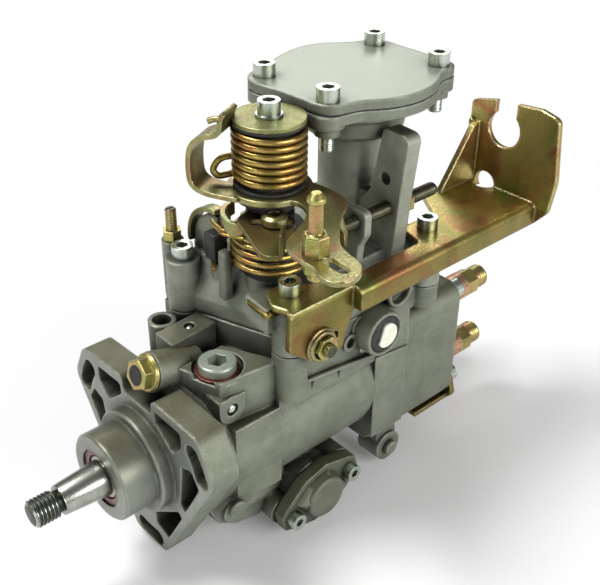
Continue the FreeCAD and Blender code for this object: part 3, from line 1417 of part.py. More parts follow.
for name, make in PIECES.items():
    node(name, make())
doc.recompute()
for thing in doc.Objects:
    if "Invalid" in thing.State or "Error" in thing.State:
        raise RuntimeError(f"{thing.Name} {thing.Label} did not compute")
os.makedirs("parts", exist_ok=True)
for thing in nodes:
    shape = thing.Shape
    if shape.isNull() or not shape.isValid() or not shape.Solids:
        raise RuntimeError(f"{thing.Label} has no valid solid")
    shape.exportStep(f"parts/{thing.Label}.step")
    box_of = shape.BoundBox
    print(thing.Label, len(shape.Solids), round(shape.Volume),
          [round(v, 1) for v in (box_of.XMin, box_of.XMax, box_of.YMin, box_of.YMax, box_of.ZMin, box_of.ZMax)])
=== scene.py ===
import bpy
import bmesh
import math
from mathutils import Matrix, Vector


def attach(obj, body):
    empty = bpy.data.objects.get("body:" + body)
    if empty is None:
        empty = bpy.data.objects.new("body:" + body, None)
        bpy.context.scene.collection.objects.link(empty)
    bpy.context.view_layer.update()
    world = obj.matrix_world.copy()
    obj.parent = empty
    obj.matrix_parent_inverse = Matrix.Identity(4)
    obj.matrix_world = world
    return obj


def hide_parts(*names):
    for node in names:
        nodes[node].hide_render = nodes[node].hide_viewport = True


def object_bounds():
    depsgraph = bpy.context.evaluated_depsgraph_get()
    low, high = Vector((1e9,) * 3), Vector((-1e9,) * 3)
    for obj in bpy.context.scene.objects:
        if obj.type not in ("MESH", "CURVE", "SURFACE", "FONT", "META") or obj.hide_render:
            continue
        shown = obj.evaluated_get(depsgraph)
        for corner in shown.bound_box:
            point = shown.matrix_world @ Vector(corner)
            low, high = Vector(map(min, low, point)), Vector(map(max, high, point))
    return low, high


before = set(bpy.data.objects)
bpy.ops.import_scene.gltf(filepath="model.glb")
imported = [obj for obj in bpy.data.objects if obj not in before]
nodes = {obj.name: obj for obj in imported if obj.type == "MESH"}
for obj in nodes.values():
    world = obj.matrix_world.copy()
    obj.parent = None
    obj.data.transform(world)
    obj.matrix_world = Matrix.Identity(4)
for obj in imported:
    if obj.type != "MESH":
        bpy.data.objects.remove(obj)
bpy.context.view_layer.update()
mm = 0.001
print("frame loaded:", len(nodes), "nodes")


def place(name, data):
    made = bpy.data.objects.new(name, data)
    bpy.context.scene.collection.objects.link(made)
    return made


def addNode(tree, kind, **settings):
    made = tree.nodes.new(kind)
    for name, value in settings.items():
        setattr(made, name, value)
    return made


def feed(tree, value, socket):
    if isinstance(value, bpy.types.NodeSocket):
        tree.links.new(value, socket)
    else:
        socket.default_value = value


def calc(tree, operation, first, second=None, clamp=False):
    made = addNode(tree, "ShaderNodeMath", operation=operation, use_clamp=clamp)
    feed(tree, first, made.inputs[0])
    if second is not None:
        feed(tree, second, made.inputs[1])
    return made.outputs[0]


def remap(tree, value, low, high, toLow=0.0, toHigh=1.0):
    made = addNode(tree, "ShaderNodeMapRange")
    for socket, number in zip(made.inputs[:5], (value, low, high, toLow, toHigh)):
        feed(tree, number, socket)
    return made.outputs[0]


def blend(tree, factor, first, second, how="MIX"):
    made = addNode(tree, "ShaderNodeMix", data_type="RGBA", blend_type=how)
    feed(tree, factor, made.inputs[0])
    feed(tree, first, made.inputs[6])
    feed(tree, second, made.inputs[7])
    return made.outputs[2]


def weigh(tree, factor, first, second):
    # the first value where the factor is 0, the second where it is 1
    kept = calc(tree, "MULTIPLY", first, calc(tree, "SUBTRACT", 1.0, factor))
    return calc(tree, "ADD", kept, calc(tree, "MULTIPLY", factor, second))


def noise(tree, where, scale, detail=3.0, roughness=0.55, distortion=0.0):
    made = addNode(tree, "ShaderNodeTexNoise")
    tree.links.new(where, made.inputs["Vector"])
    for name, number in (("Scale", scale), ("Detail", detail), ("Roughness", roughness),
                         ("Distortion", distortion)):
        feed(tree, number, made.inputs[name])
    return made.outputs["Fac"]


def objectPlace(tree):
    return addNode(tree, "ShaderNodeTexCoord").outputs["Object"]


def split(tree, vector):
    made = addNode(tree, "ShaderNodeSeparateXYZ")
    tree.links.new(vector, made.inputs[0])
    return made.outputs


def joinVectors(tree, operation, first, second):
    made = addNode(tree, "ShaderNodeVectorMath", operation=operation)
    feed(tree, first, made.inputs[0])
    feed(tree, second, made.inputs[1])
    return made.outputs


def shade(red, green, blue):
    return tuple(((c / 255 + 0.055) / 1.055) ** 2.4 for c in (red, green, blue)) + (1.0,)


def newGroup(name, inputs, outputs):
    tree = bpy.data.node_groups.new(name, "ShaderNodeTree")
    kinds = {"value": "NodeSocketFloat", "colour": "NodeSocketColor", "vector": "NodeSocketVector"}
    for word, kind, default in inputs:
        socket = tree.interface.new_socket(word, in_out="INPUT", socket_type=kinds[kind])
        socket.default_value = default
    for word, kind in outputs:
        tree.interface.new_socket(word, in_out="OUTPUT", socket_type=kinds[kind])
    return tree, addNode(tree, "NodeGroupInput").outputs, addNode(tree, "NodeGroupOutput").inputs


def useGroup(tree, group, **inputs):
    made = addNode(tree, "ShaderNodeGroup", node_tree=group)
    for name, value in inputs.items():
        feed(tree, value, made.inputs[name])
    return made.outputs


# shader groups shared by the finishes; the settings of each stand above it
edgeLook = {"samples": 6, "spots": {"scale": 420.0, "detail": 4.0}, "turn": (0.01, 0.16), "wearAndHighlight": (0.0, 0.35)}


# edge mask and rounded normal: the mask gives bright wear, and on chromate also a painted highlight
def makeEdgeWearAndHighlight():
    tree, given, result = newGroup("edgeWearAndHighlight", [("Radius", "value", 0.0008), ("Patchiness", "value", 0.5)],
                                   [("Edge", "value"), ("Rounded", "vector")])
    bevel = addNode(tree, "ShaderNodeBevel", samples=edgeLook["samples"])
    tree.links.new(given["Radius"], bevel.inputs["Radius"])
    here = addNode(tree, "ShaderNodeNewGeometry")
    dot = joinVectors(tree, "DOT_PRODUCT", bevel.outputs[0], here.outputs["Normal"])
    turn = calc(tree, "SUBTRACT", 1.0, dot["Value"])
    spots = noise(tree, objectPlace(tree), **edgeLook["spots"])
    wearAndHighlight = calc(tree, "SUBTRACT", spots, calc(tree, "MULTIPLY", given["Patchiness"], 0.5))
    edge = calc(tree, "MULTIPLY", remap(tree, turn, *edgeLook["turn"]), remap(tree, wearAndHighlight, *edgeLook["wearAndHighlight"]),
                clamp=True)
    tree.links.new(edge, result["Edge"])
    tree.links.new(bevel.outputs[0], result["Rounded"])
    return tree


grimeAndShadeLook = {"samples": 6, "hollow": (0.95, 0.35), "patches": {"scale": 90.0, "detail": 5.0, "roughness": 0.6},
             "spread": (0.3, 0.7, 0.45, 1.25)}


# ambient occlusion darkens the hollows: grime, and painted shade in corners and recesses
def makeGrimeAndShade():
    tree, given, result = newGroup("grimeAndShade", [("Reach", "value", 0.006), ("Strength", "value", 0.8)],
                                   [("DirtAndShade", "value")])
    hollow = addNode(tree, "ShaderNodeAmbientOcclusion", samples=grimeAndShadeLook["samples"])
    tree.links.new(given["Reach"], hollow.inputs["Distance"])
    dark = remap(tree, hollow.outputs["AO"], *grimeAndShadeLook["hollow"])
    patches = remap(tree, noise(tree, objectPlace(tree), **grimeAndShadeLook["patches"]), *grimeAndShadeLook["spread"])
    dirt = calc(tree, "MULTIPLY", calc(tree, "MULTIPLY", dark, patches), given["Strength"], clamp=True)
    tree.links.new(dirt, result["DirtAndShade"])
    return tree


sandLook = {
    "grain": {"detail": 2.0, "roughness": 0.7}, "grainShare": 0.3, "rough": (0.6, 1.4, 0.62, 0.42),
    "clouds": {"scale": 38.0, "detail": 4.0, "roughness": 0.6, "distortion": 0.4}, "cloudRange": (0.3, 0.7),
    "cloudShare": 0.5, "stains": {"scale": 170.0, "detail": 5.0, "roughness": 0.65}, "stainRange": (0.3, 0.72),
    "stainShare": 0.3, "pitScale": 750.0, "pitRange": (0.05, 0.35), "pitShare": 0.6,
}


def makeSandSkin():
    tree, given, result = newGroup("sandSkin", [("Light", "colour", (1, 1, 1, 1)), ("Dark", "colour", (0, 0, 0, 1)),
                                                ("Grain", "value", 1900.0)],
                                   [("Colour", "colour"), ("Roughness", "value"), ("Height", "value")])
    where = objectPlace(tree)
    grain = noise(tree, where, given["Grain"], **sandLook["grain"])
    clouds = noise(tree, where, **sandLook["clouds"])
    stains = noise(tree, where, **sandLook["stains"])
    pits = addNode(tree, "ShaderNodeTexVoronoi")
    tree.links.new(where, pits.inputs["Vector"])
    pits.inputs["Scale"].default_value = sandLook["pitScale"]
    pit = remap(tree, pits.outputs["Distance"], *sandLook["pitRange"])
    clouded = calc(tree, "MULTIPLY", remap(tree, clouds, *sandLook["cloudRange"]), sandLook["cloudShare"])
    stained = calc(tree, "MULTIPLY", remap(tree, stains, *sandLook["stainRange"]), sandLook["stainShare"])
    tone = calc(tree, "ADD", clouded, stained)
    tone = calc(tree, "ADD", tone, calc(tree, "MULTIPLY", grain, sandLook["grainShare"]), clamp=True)
    tree.links.new(blend(tree, tone, given["Dark"], given["Light"]), result["Colour"])
    tree.links.new(remap(tree, calc(tree, "ADD", grain, clouds), *sandLook["rough"]), result["Roughness"])
    tree.links.new(calc(tree, "ADD", grain, calc(tree, "MULTIPLY", pit, sandLook["pitShare"])), result["Height"])
    return tree


toolLook = {"detail": 4.0, "roughness": 0.6}


def makeToolMarks():
    tree, given, result = newGroup("toolMarks", [("Stretch", "vector", (1.0, 0.02, 0.02)),
                                                 ("Fineness", "value", 2600.0)], [("Line", "value")])
    scaled = joinVectors(tree, "MULTIPLY", objectPlace(tree), given["Stretch"])
    tree.links.new(noise(tree, scaled[0], given["Fineness"], **toolLook), result["Line"])
    return tree


filmLook = {
    "pink": {"detail": 2.5, "roughness": 0.5, "distortion": 1.2}, "pinkRange": (0.5, 0.64),
    "green": {"detail": 3.0, "roughness": 0.55, "distortion": 1.0}, "greenRange": (0.48, 0.66),
    "greenShift": (0.31, 0.17, 0.53), "share": 0.75, "fine": {"scale": 900.0, "detail": 3.0, "roughness": 0.6},
    "speckRange": (0.35, 0.75, 0.0, 0.35), "speckTint": (0.06, 0.045, 0.02, 1), "rough": (0.3, 0.7, 0.24, 0.42),
}


def makeChromate():
    tree, given, result = newGroup("chromateFilm", [("Gold", "colour", (1, 1, 1, 1)), ("Pink", "colour", (1, 0, 0, 1)),
                                                    ("Green", "colour", (0, 1, 0, 1)), ("Patch", "value", 45.0)],
                                   [("Colour", "colour"), ("Roughness", "value"), ("Height", "value")])
    where = objectPlace(tree)
    moved = joinVectors(tree, "ADD", where, filmLook["greenShift"])
    tint = given["Gold"]
    for word, spot in (("pink", where), ("green", moved[0])):
        patches = remap(tree, noise(tree, spot, given["Patch"], **filmLook[word]), *filmLook[word + "Range"])
        tint = blend(tree, calc(tree, "MULTIPLY", patches, filmLook["share"]), tint, given[word.capitalize()])
    fine = noise(tree, where, **filmLook["fine"])
    tint = blend(tree, remap(tree, fine, *filmLook["speckRange"]), tint, filmLook["speckTint"], "MULTIPLY")
    tree.links.new(tint, result["Colour"])
    tree.links.new(remap(tree, fine, *filmLook["rough"]), result["Roughness"])
    tree.links.new(fine, result["Height"])
    return tree


edgeWearAndHighlight = makeEdgeWearAndHighlight()
grimeAndShade = makeGrimeAndShade()
sandSkin = makeSandSkin()
toolMarks = makeToolMarks()
chromateFilm = makeChromate()
print("shader groups built")


def startFinish(name):
    made = bpy.data.materials.new(name)
    made.use_nodes = True
    tree = made.node_tree
    tree.nodes.clear()
    shader = addNode(tree, "ShaderNodeBsdfPrincipled")
    output = addNode(tree, "ShaderNodeOutputMaterial")
    tree.links.new(shader.outputs[0], output.inputs["Surface"])
    return made, tree, shader


def endFinish(tree, shader, look, tint, rough, height, rounded):
    tree.links.new(tint, shader.inputs["Base Color"])
    tree.links.new(rough, shader.inputs["Roughness"])
    shader.inputs["Metallic"].default_value = look["metal"]
    bump = addNode(tree, "ShaderNodeBump")
    bump.inputs["Strength"].default_value = look["bump"]
    bump.inputs["Distance"].default_value = look["bumpDepth"]
    tree.links.new(height, bump.inputs["Height"])
    tree.links.new(rounded, bump.inputs["Normal"])
    tree.links.new(bump.outputs[0], shader.inputs["Normal"])


def soilAndShade(tree, look, tint, edgeMarks, dirt):
    # bright worn edges first, then dirt and painted shade in the corners
    tint = blend(tree, calc(tree, "MULTIPLY", edgeMarks["Edge"], look["wearAndHighlight"]), tint, look["wearAndHighlightTint"])
    return blend(tree, dirt["DirtAndShade"], tint, look["dirtAndShadeTint"])


# sand cast aluminium: machined faces are pairs of axis and level in metres
castLook = {
    "light": shade(142, 147, 131), "dark": shade(92, 96, 80), "metal": 0.55, "bump": 0.55, "bumpDepth": 0.00035,
    "machinedLight": shade(150, 154, 142), "machinedDark": shade(108, 112, 100), "machinedRough": 0.38,
    "machinedBump": 0.4, "faceDepth": 0.00015, "stretch": (1.0, 0.03, 0.03),
    "topGrimeAndShadeTint": shade(92, 90, 68), "oilFilm": 0.92, "topFacingRange": (0.35, 0.95), "topPatchRange": (0.3, 0.6, 0.45, 1.0),
    "topPatches": {"scale": 55.0, "detail": 5.0, "roughness": 0.65},
    "edgeRadius": 0.0019, "wearAndHighlight": 0.55, "wearAndHighlightTint": shade(200, 203, 190),
    "dirtAndShadeReach": 0.011, "dirty": 1.0, "dirtAndShadeTint": shade(34, 35, 25), "dirtRough": 0.25,
}


def machinedMask(tree, look, faces, frontOf):
    spot = split(tree, objectPlace(tree))
    masks = []
    for letter, level in faces:
        away = calc(tree, "ABSOLUTE", calc(tree, "SUBTRACT", spot["XYZ".index(letter)], level))
        masks.append(calc(tree, "LESS_THAN", away, look["faceDepth"]))
    if frontOf is not None:
        masks.append(calc(tree, "LESS_THAN", spot[0], frontOf))
    whole = masks[0]
    for mask in masks[1:]:
        whole = calc(tree, "MAXIMUM", whole, mask)
    return whole


def castFinish(name, faces=(), frontOf=None, **changes):
    look = dict(castLook, **changes)
    made, tree, shader = startFinish(name)
    skin = useGroup(tree, sandSkin, Light=look["light"], Dark=look["dark"])
    edgeMarks = useGroup(tree, edgeWearAndHighlight, Radius=look["edgeRadius"])
    dirt = useGroup(tree, grimeAndShade, Reach=look["dirtAndShadeReach"], Strength=look["dirty"])
    tint, rough, height = skin["Colour"], skin["Roughness"], skin["Height"]
    if faces or frontOf is not None:
        cut = machinedMask(tree, look, faces, frontOf)
        line = useGroup(tree, toolMarks, Stretch=look["stretch"])["Line"]
        tint = blend(tree, cut, tint, blend(tree, line, look["machinedDark"], look["machinedLight"]))
        rough = weigh(tree, cut, rough, look["machinedRough"])
        height = weigh(tree, cut, height, calc(tree, "MULTIPLY", line, look["machinedBump"]))
    # what faces up is painted darker and browner: partly grime, partly painted shade from the weaker light above
    facing = split(tree, addNode(tree, "ShaderNodeNewGeometry").outputs["Normal"])
    spread = noise(tree, objectPlace(tree), **look["topPatches"])
    overlay = calc(tree, "MULTIPLY", remap(tree, facing[2], *look["topFacingRange"]), remap(tree, spread, *look["topPatchRange"]))
    tint = blend(tree, calc(tree, "MULTIPLY", overlay, look["oilFilm"]), tint, look["topGrimeAndShadeTint"])
    rough = calc(tree, "ADD", rough, calc(tree, "MULTIPLY", dirt["DirtAndShade"], look["dirtRough"]), clamp=True)
    endFinish(tree, shader, look, soilAndShade(tree, look, tint, edgeMarks, dirt), rough, height, edgeMarks["Rounded"])
    return made


steelLook = {
    "stretch": (1.0, 0.03, 0.03), "clouds": {"scale": 120.0, "detail": 4.0, "roughness": 0.6}, "share": 0.5,
    "toneRange": (0.3, 0.7),
    "roughLow": 0.2, "roughHigh": 0.4, "metal": 1.0, "bump": 0.12, "bumpDepth": 0.0001,
    "edgeRadius": 0.00035, "wearAndHighlight": 0.5, "wearAndHighlightTint": shade(226, 226, 220),
    "dirtAndShadeReach": 0.003, "dirty": 0.55, "dirtAndShadeTint": shade(38, 36, 30),
}


def steelFinish(name, light, dark, **changes):
    look = dict(steelLook, **changes)
    made, tree, shader = startFinish(name)
    line = useGroup(tree, toolMarks, Stretch=look["stretch"])["Line"]
    edgeMarks = useGroup(tree, edgeWearAndHighlight, Radius=look["edgeRadius"])
    dirt = useGroup(tree, grimeAndShade, Reach=look["dirtAndShadeReach"], Strength=look["dirty"])
    clouds = noise(tree, objectPlace(tree), **look["clouds"])
    tone = calc(tree, "ADD", calc(tree, "MULTIPLY", line, look["share"]),
                calc(tree, "MULTIPLY", clouds, look["share"]), clamp=True)
    tint = blend(tree, remap(tree, tone, *look["toneRange"]), dark, light)
    rough = remap(tree, tone, *look["toneRange"], look["roughHigh"], look["roughLow"])
    endFinish(tree, shader, look, soilAndShade(tree, look, tint, edgeMarks, dirt), rough, line, edgeMarks["Rounded"])
    return made


# yellow chromate film; below a given height in metres it gets painted shade, darker and browner
chromateLook = {
    "patch": 45.0, "roughAdd": 0.0, "metal": 0.9, "bump": 0.16, "bumpDepth": 0.00012,
    "edgeRadius": 0.0006, "wearAndHighlight": 0.7, "wearAndHighlightTint": shade(240, 228, 184),
    "dirtAndShadeReach": 0.004, "dirty": 0.6, "dirtAndShadeTint": shade(44, 34, 16),
    "below": None, "belowBlur": 0.0004, "belowShadeShare": 0.6, "belowShadeTint": shade(96, 84, 34),
}


def chromateFinish(name, gold, pink, green, **changes):
    look = dict(chromateLook, **changes)
    made, tree, shader = startFinish(name)
    overlay = useGroup(tree, chromateFilm, Gold=gold, Pink=pink, Green=green, Patch=look["patch"])
    edgeMarks = useGroup(tree, edgeWearAndHighlight, Radius=look["edgeRadius"])
    dirt = useGroup(tree, grimeAndShade, Reach=look["dirtAndShadeReach"], Strength=look["dirty"])
    # pale edges: partly wear, partly painted highlight
    tint = blend(tree, calc(tree, "MULTIPLY", edgeMarks["Edge"], look["wearAndHighlight"]), overlay["Colour"], look["wearAndHighlightTint"])
    # painted shade under the strip: darker and browner below the given height
    if look["below"] is not None:
        height = split(tree, objectPlace(tree))[2]
        lower = remap(tree, height, look["below"] + look["belowBlur"], look["below"] - look["belowBlur"], 0.0,
                      look["belowShadeShare"])
        tint = blend(tree, lower, tint, look["belowShadeTint"])
    # dirt and painted shade in the hollows
    tint = blend(tree, dirt["DirtAndShade"], tint, look["dirtAndShadeTint"])
    rough = calc(tree, "ADD", overlay["Roughness"], look["roughAdd"])
    endFinish(tree, shader, look, tint, rough, overlay["Height"], edgeMarks["Rounded"])
    return made


rubberLook = {
    "roughness": 0.55, "roughDown": 0.1, "roughUp": 0.12, "grain": 1400.0, "speck": {"detail": 3.0, "roughness": 0.6},
    "speckRange": (0.3, 0.7), "dust": {"scale": 160.0, "detail": 4.0, "roughness": 0.6}, "dustRange": (0.45, 0.75),
    "lift": 2.4, "edgeRadius": 0.0004, "wearAndHighlight": 0.4, "metal": 0.0, "bump": 0.2, "bumpDepth": 0.0001,
}


def rubberFinish(name, tone, **changes):
    look = dict(rubberLook, **changes)
    made, tree, shader = startFinish(name)
    edgeMarks = useGroup(tree, edgeWearAndHighlight, Radius=look["edgeRadius"])
    where = objectPlace(tree)
    speck = noise(tree, where, look["grain"], **look["speck"])
    dust = noise(tree, where, **look["dust"])
    lighter = tuple(min(1.0, c * look["lift"] + 0.01) for c in tone[:3]) + (1.0,)
    tint = blend(tree, remap(tree, dust, *look["dustRange"]), tone, lighter)
    tint = blend(tree, calc(tree, "MULTIPLY", edgeMarks["Edge"], look["wearAndHighlight"]), tint, lighter)
    rough = remap(tree, speck, *look["speckRange"], look["roughness"] - look["roughDown"],
                  look["roughness"] + look["roughUp"])
    endFinish(tree, shader, look, tint, rough, speck, edgeMarks["Rounded"])
    return made


finishes = {
    "housing": castFinish("castHousing", [("X", 0.0), ("Z", 0.05), ("Z", 0.0425)], frontOf=-0.00005),
    "cover": castFinish("castCover", [("Z", 0.076), ("X", 0.128)], light=shade(170, 174, 158),
                        dark=shade(116, 120, 104), oilFilm=0.5),
    "capsule": castFinish("castCapsule", [("Z", 0.15089)], light=shade(134, 139, 123), dark=shade(94, 98, 84),
                          machinedLight=shade(160, 165, 150), machinedDark=shade(139, 144, 128),
                          dirty=0.8, bump=0.6, oilFilm=0.0),
    "timing": castFinish("castTiming", light=shade(128, 132, 114), dark=shade(84, 88, 70), edgeRadius=0.0009),
    "head": castFinish("machinedHead", light=shade(136, 141, 124), dark=shade(98, 103, 88), bump=0.3, metal=0.6),
    "ground": steelFinish("groundSteel", shade(186, 188, 176), shade(128, 131, 120)),
    "dark": steelFinish("phosphateSteel", shade(108, 106, 84), shade(52, 52, 40), roughLow=0.32, roughHigh=0.5),
    "threadDark": steelFinish("shaftBlack", shade(84, 90, 78), shade(44, 48, 40), roughLow=0.35, roughHigh=0.5),
    "zinc": steelFinish("brightZinc", shade(208, 216, 204), shade(176, 185, 173), stretch=(0.3, 0.3, 0.3), dirty=0.8),
    "plug": steelFinish("plugZinc", shade(196, 206, 192), shade(168, 178, 164), stretch=(0.3, 0.3, 0.3),
                        roughLow=0.3, roughHigh=0.42, metal=0.75),
    "gold": chromateFinish("yellowChromate", shade(164, 158, 106), shade(158, 118, 84), shade(122, 138, 86)),
    "bracket": chromateFinish("bracketChromate", shade(186, 166, 98), shade(168, 90, 72), shade(124, 142, 70),
                              patch=32.0, edgeRadius=0.0018, below=0.0768),
    "fitting": chromateFinish("fittingChromate", shade(190, 180, 108), shade(196, 140, 108), shade(140, 152, 74),
                              patch=90.0),
    "olive": chromateFinish("oliveChromate", shade(124, 108, 66), shade(128, 92, 58), shade(100, 102, 58),
                            patch=60.0, roughAdd=0.15),
    "capGold": chromateFinish("capChromate", shade(158, 158, 104), shade(150, 136, 92), shade(126, 136, 82),
                              patch=60.0, roughAdd=0.14),
    "spring": chromateFinish("springWire", shade(182, 156, 88), shade(172, 118, 66), shade(140, 130, 62),
                             patch=70.0, edgeRadius=0.0002),
    "neck": chromateFinish("copperNeck", shade(206, 164, 130), shade(200, 130, 104), shade(170, 150, 96),
                           patch=110.0),
    "copper": steelFinish("copperRing", shade(150, 84, 62), shade(92, 50, 38), roughLow=0.35, roughHigh=0.55),
    "bronze": steelFinish("bronzeBush", shade(190, 150, 90), shade(140, 104, 58)),
    "rubber": rubberFinish("blackRubber", shade(26, 26, 25)),
    "seal": rubberFinish("sealFace", shade(116, 84, 76), roughness=0.45),
    "gasket": rubberFinish("gasketSheet", shade(34, 34, 31), roughness=0.7),
    "cream": rubberFinish("creamPlug", shade(216, 214, 192), roughness=0.4, grain=700.0),
}

# finish of each node; those not named here are ground steel
nodeFinish = {
    "pump_housing": "housing", "governor_cover": "cover", "boost_housing": "capsule", "boost_cover": "capsule",
    "timing_covers": "timing", "distributor_head": "head", "m6_cap_screws": "zinc", "timing_screws": "zinc",
    "cap_screw": "zinc", "housing_plug": "plug", "sealing_balls": "zinc", "cable_bracket": "bracket",
    "rear_bracket": "bracket", "throttle_lever": "gold", "lever_stud": "fitting", "adjuster_plate": "olive",
    "adjuster_screw": "gold", "spring_cap": "capGold", "cold_start_plate": "gold", "hex_nuts": "fitting",
    "fuel_inlet_union": "fitting", "delivery_valve_holders": "fitting", "head_plug": "fitting",
    "adjusting_screws": "dark", "drive_shaft": "ground", "shaft_bush": "bronze", "shaft_seal": "seal",
    "sealing_washers": "copper", "gaskets": "gasket", "spring_rings": "rubber", "rubber_stop": "rubber",
    "boost_diaphragm": "rubber", "solenoid_plug": "cream", "return_spring": "spring", "torsion_spring": "spring",
    "pressure_valve": "housing",
}


def dress(piece, finish):
    if not piece.material_slots:
        piece.data.materials.append(finish)
    for slot in piece.material_slots:
        slot.material = finish


for nodeName, piece in nodes.items():
    dress(piece, finishes[nodeFinish.get(nodeName, "ground")])
print("finishes placed on", len(nodes), "nodes")


# geometry node trees
def newShapeTree(name, inputs):
    tree = bpy.data.node_groups.new(name, "GeometryNodeTree")
    tree.interface.new_socket("Geometry", in_out="OUTPUT", socket_type="NodeSocketGeometry")
    kinds = {"number": "NodeSocketFloat", "count": "NodeSocketInt", "finish": "NodeSocketMaterial"}
    for word, kind in inputs:
        tree.interface.new_socket(word, in_out="INPUT", socket_type=kinds[kind])
    return tree, addNode(tree, "NodeGroupInput").outputs, addNode(tree, "NodeGroupOutput").inputs


def finishTree(tree, given, result, geometry):
    real = addNode(tree, "GeometryNodeRealizeInstances")
    painted = addNode(tree, "GeometryNodeSetMaterial")
    tree.links.new(geometry, real.inputs[0])
    tree.links.new(real.outputs[0], painted.inputs[0])
    tree.links.new(given["Finish"], painted.inputs["Material"])
    tree.links.new(painted.outputs[0], result[0])


def takeShape(piece, modifier):
    # the plain mesh that a modifier makes; the modifier goes
    bpy.context.view_layer.update()
    ready = piece.evaluated_get(bpy.context.evaluated_depsgraph_get())
    made = bpy.data.meshes.new_from_object(ready)
    piece.modifiers.remove(modifier)
    return made


mergeGap = 0.000002   # points nearer than this, in metres, become one


def grow(name, tree, settings, turns):
    # one plain mesh from a geometry tree, set at each of the given places
    carrier = place(name + "Source", bpy.data.meshes.new(name + "Source"))
    modifier = carrier.modifiers.new("shape", "NODES")
    modifier.node_group = tree
    for item in tree.interface.items_tree:
        if item.in_out == "INPUT" and item.name in settings:
            modifier[item.identifier] = settings[item.name]
    single = takeShape(carrier, modifier)
    bpy.data.objects.remove(carrier)
    mesh = bmesh.new()
    for turn in turns:
        first = len(mesh.verts)
        mesh.from_mesh(single)
        mesh.verts.ensure_lookup_table()
        bmesh.ops.transform(mesh, matrix=turn, verts=mesh.verts[first:])
    bmesh.ops.remove_doubles(mesh, verts=mesh.verts, dist=mergeGap)
    bmesh.ops.recalc_face_normals(mesh, faces=mesh.faces)
    done = bpy.data.meshes.new(name)
    mesh.to_mesh(done)
    mesh.free()
    for finish in single.materials:
        done.materials.append(finish)
    done.polygons.foreach_set("use_smooth", [True] * len(done.polygons))
    return place(name, done)


threadForm = {"steepness": 2.4, "endFade": 5.0, "around": 41, "perPitch": 10}
coilForm = {"stepsPerTurn": 40, "wireSides": 14}


def makeThreadTree():
    tree, given, result = newShapeTree("threadedRod", [
        ("Radius", "number"), ("Depth", "number"), ("Pitch", "number"), ("Length", "number"),
        ("Around", "count"), ("Along", "count"), ("Finish", "finish")])
    length, pitch = given["Length"], given["Pitch"]
    grid = addNode(tree, "GeometryNodeMeshGrid")
    for side in ("Size X", "Size Y"):
        grid.inputs[side].default_value = 1.0
    tree.links.new(given["Around"], grid.inputs["Vertices X"])
    tree.links.new(given["Along"], grid.inputs["Vertices Y"])
    spot = split(tree, addNode(tree, "GeometryNodeInputPosition").outputs[0])
    around = calc(tree, "ADD", spot[0], 0.5)
    far = calc(tree, "MULTIPLY", calc(tree, "ADD", spot[1], 0.5), length)
    phase = calc(tree, "FRACT", calc(tree, "ADD", calc(tree, "DIVIDE", far, pitch), around))
    away = calc(tree, "ABSOLUTE", calc(tree, "SUBTRACT", phase, 0.5))
    tooth = calc(tree, "SUBTRACT", 1.0, calc(tree, "MULTIPLY", away, threadForm["steepness"]), clamp=True)
    # the thread runs out at both ends
    ends = calc(tree, "MULTIPLY", calc(tree, "MULTIPLY", far, calc(tree, "SUBTRACT", length, far)),
                calc(tree, "DIVIDE", threadForm["endFade"], calc(tree, "MULTIPLY", length, pitch)), clamp=True)
    proud = calc(tree, "MULTIPLY", calc(tree, "MULTIPLY", tooth, ends), given["Depth"])
    reach = calc(tree, "ADD", given["Radius"], proud)
    angle = calc(tree, "MULTIPLY", around, 2 * math.pi)
    rolled = addNode(tree, "ShaderNodeCombineXYZ")
    for socket, part in enumerate(("COSINE", "SINE")):
        tree.links.new(calc(tree, "MULTIPLY", reach, calc(tree, part, angle)), rolled.inputs[socket])
    tree.links.new(far, rolled.inputs[2])
    moved = addNode(tree, "GeometryNodeSetPosition")
    tree.links.new(grid.outputs["Mesh"], moved.inputs["Geometry"])
    tree.links.new(rolled.outputs[0], moved.inputs["Position"])
    finishTree(tree, given, result, moved.outputs[0])
    return tree


def makeCoilTree():
    tree, given, result = newShapeTree("wireCoil", [
        ("Radius", "number"), ("Wire", "number"), ("Turns", "number"), ("Height", "number"),
        ("Finish", "finish")])
    spiral = addNode(tree, "GeometryNodeCurveSpiral")
    spiral.inputs["Resolution"].default_value = coilForm["stepsPerTurn"]
    for word, socket in (("Turns", "Rotations"), ("Radius", "Start Radius"), ("Radius", "End Radius"),
                         ("Height", "Height")):
        tree.links.new(given[word], spiral.inputs[socket])
    section = addNode(tree, "GeometryNodeCurvePrimitiveCircle")
    section.inputs["Resolution"].default_value = coilForm["wireSides"]
    tree.links.new(given["Wire"], section.inputs["Radius"])
    swept = addNode(tree, "GeometryNodeCurveToMesh")
    swept.inputs["Fill Caps"].default_value = True
    tree.links.new(spiral.outputs[0], swept.inputs["Curve"])
    tree.links.new(section.outputs[0], swept.inputs["Profile Curve"])
    finishTree(tree, given, result, swept.outputs[0])
    return tree


threadTree = makeThreadTree()
coilTree = makeCoilTree()

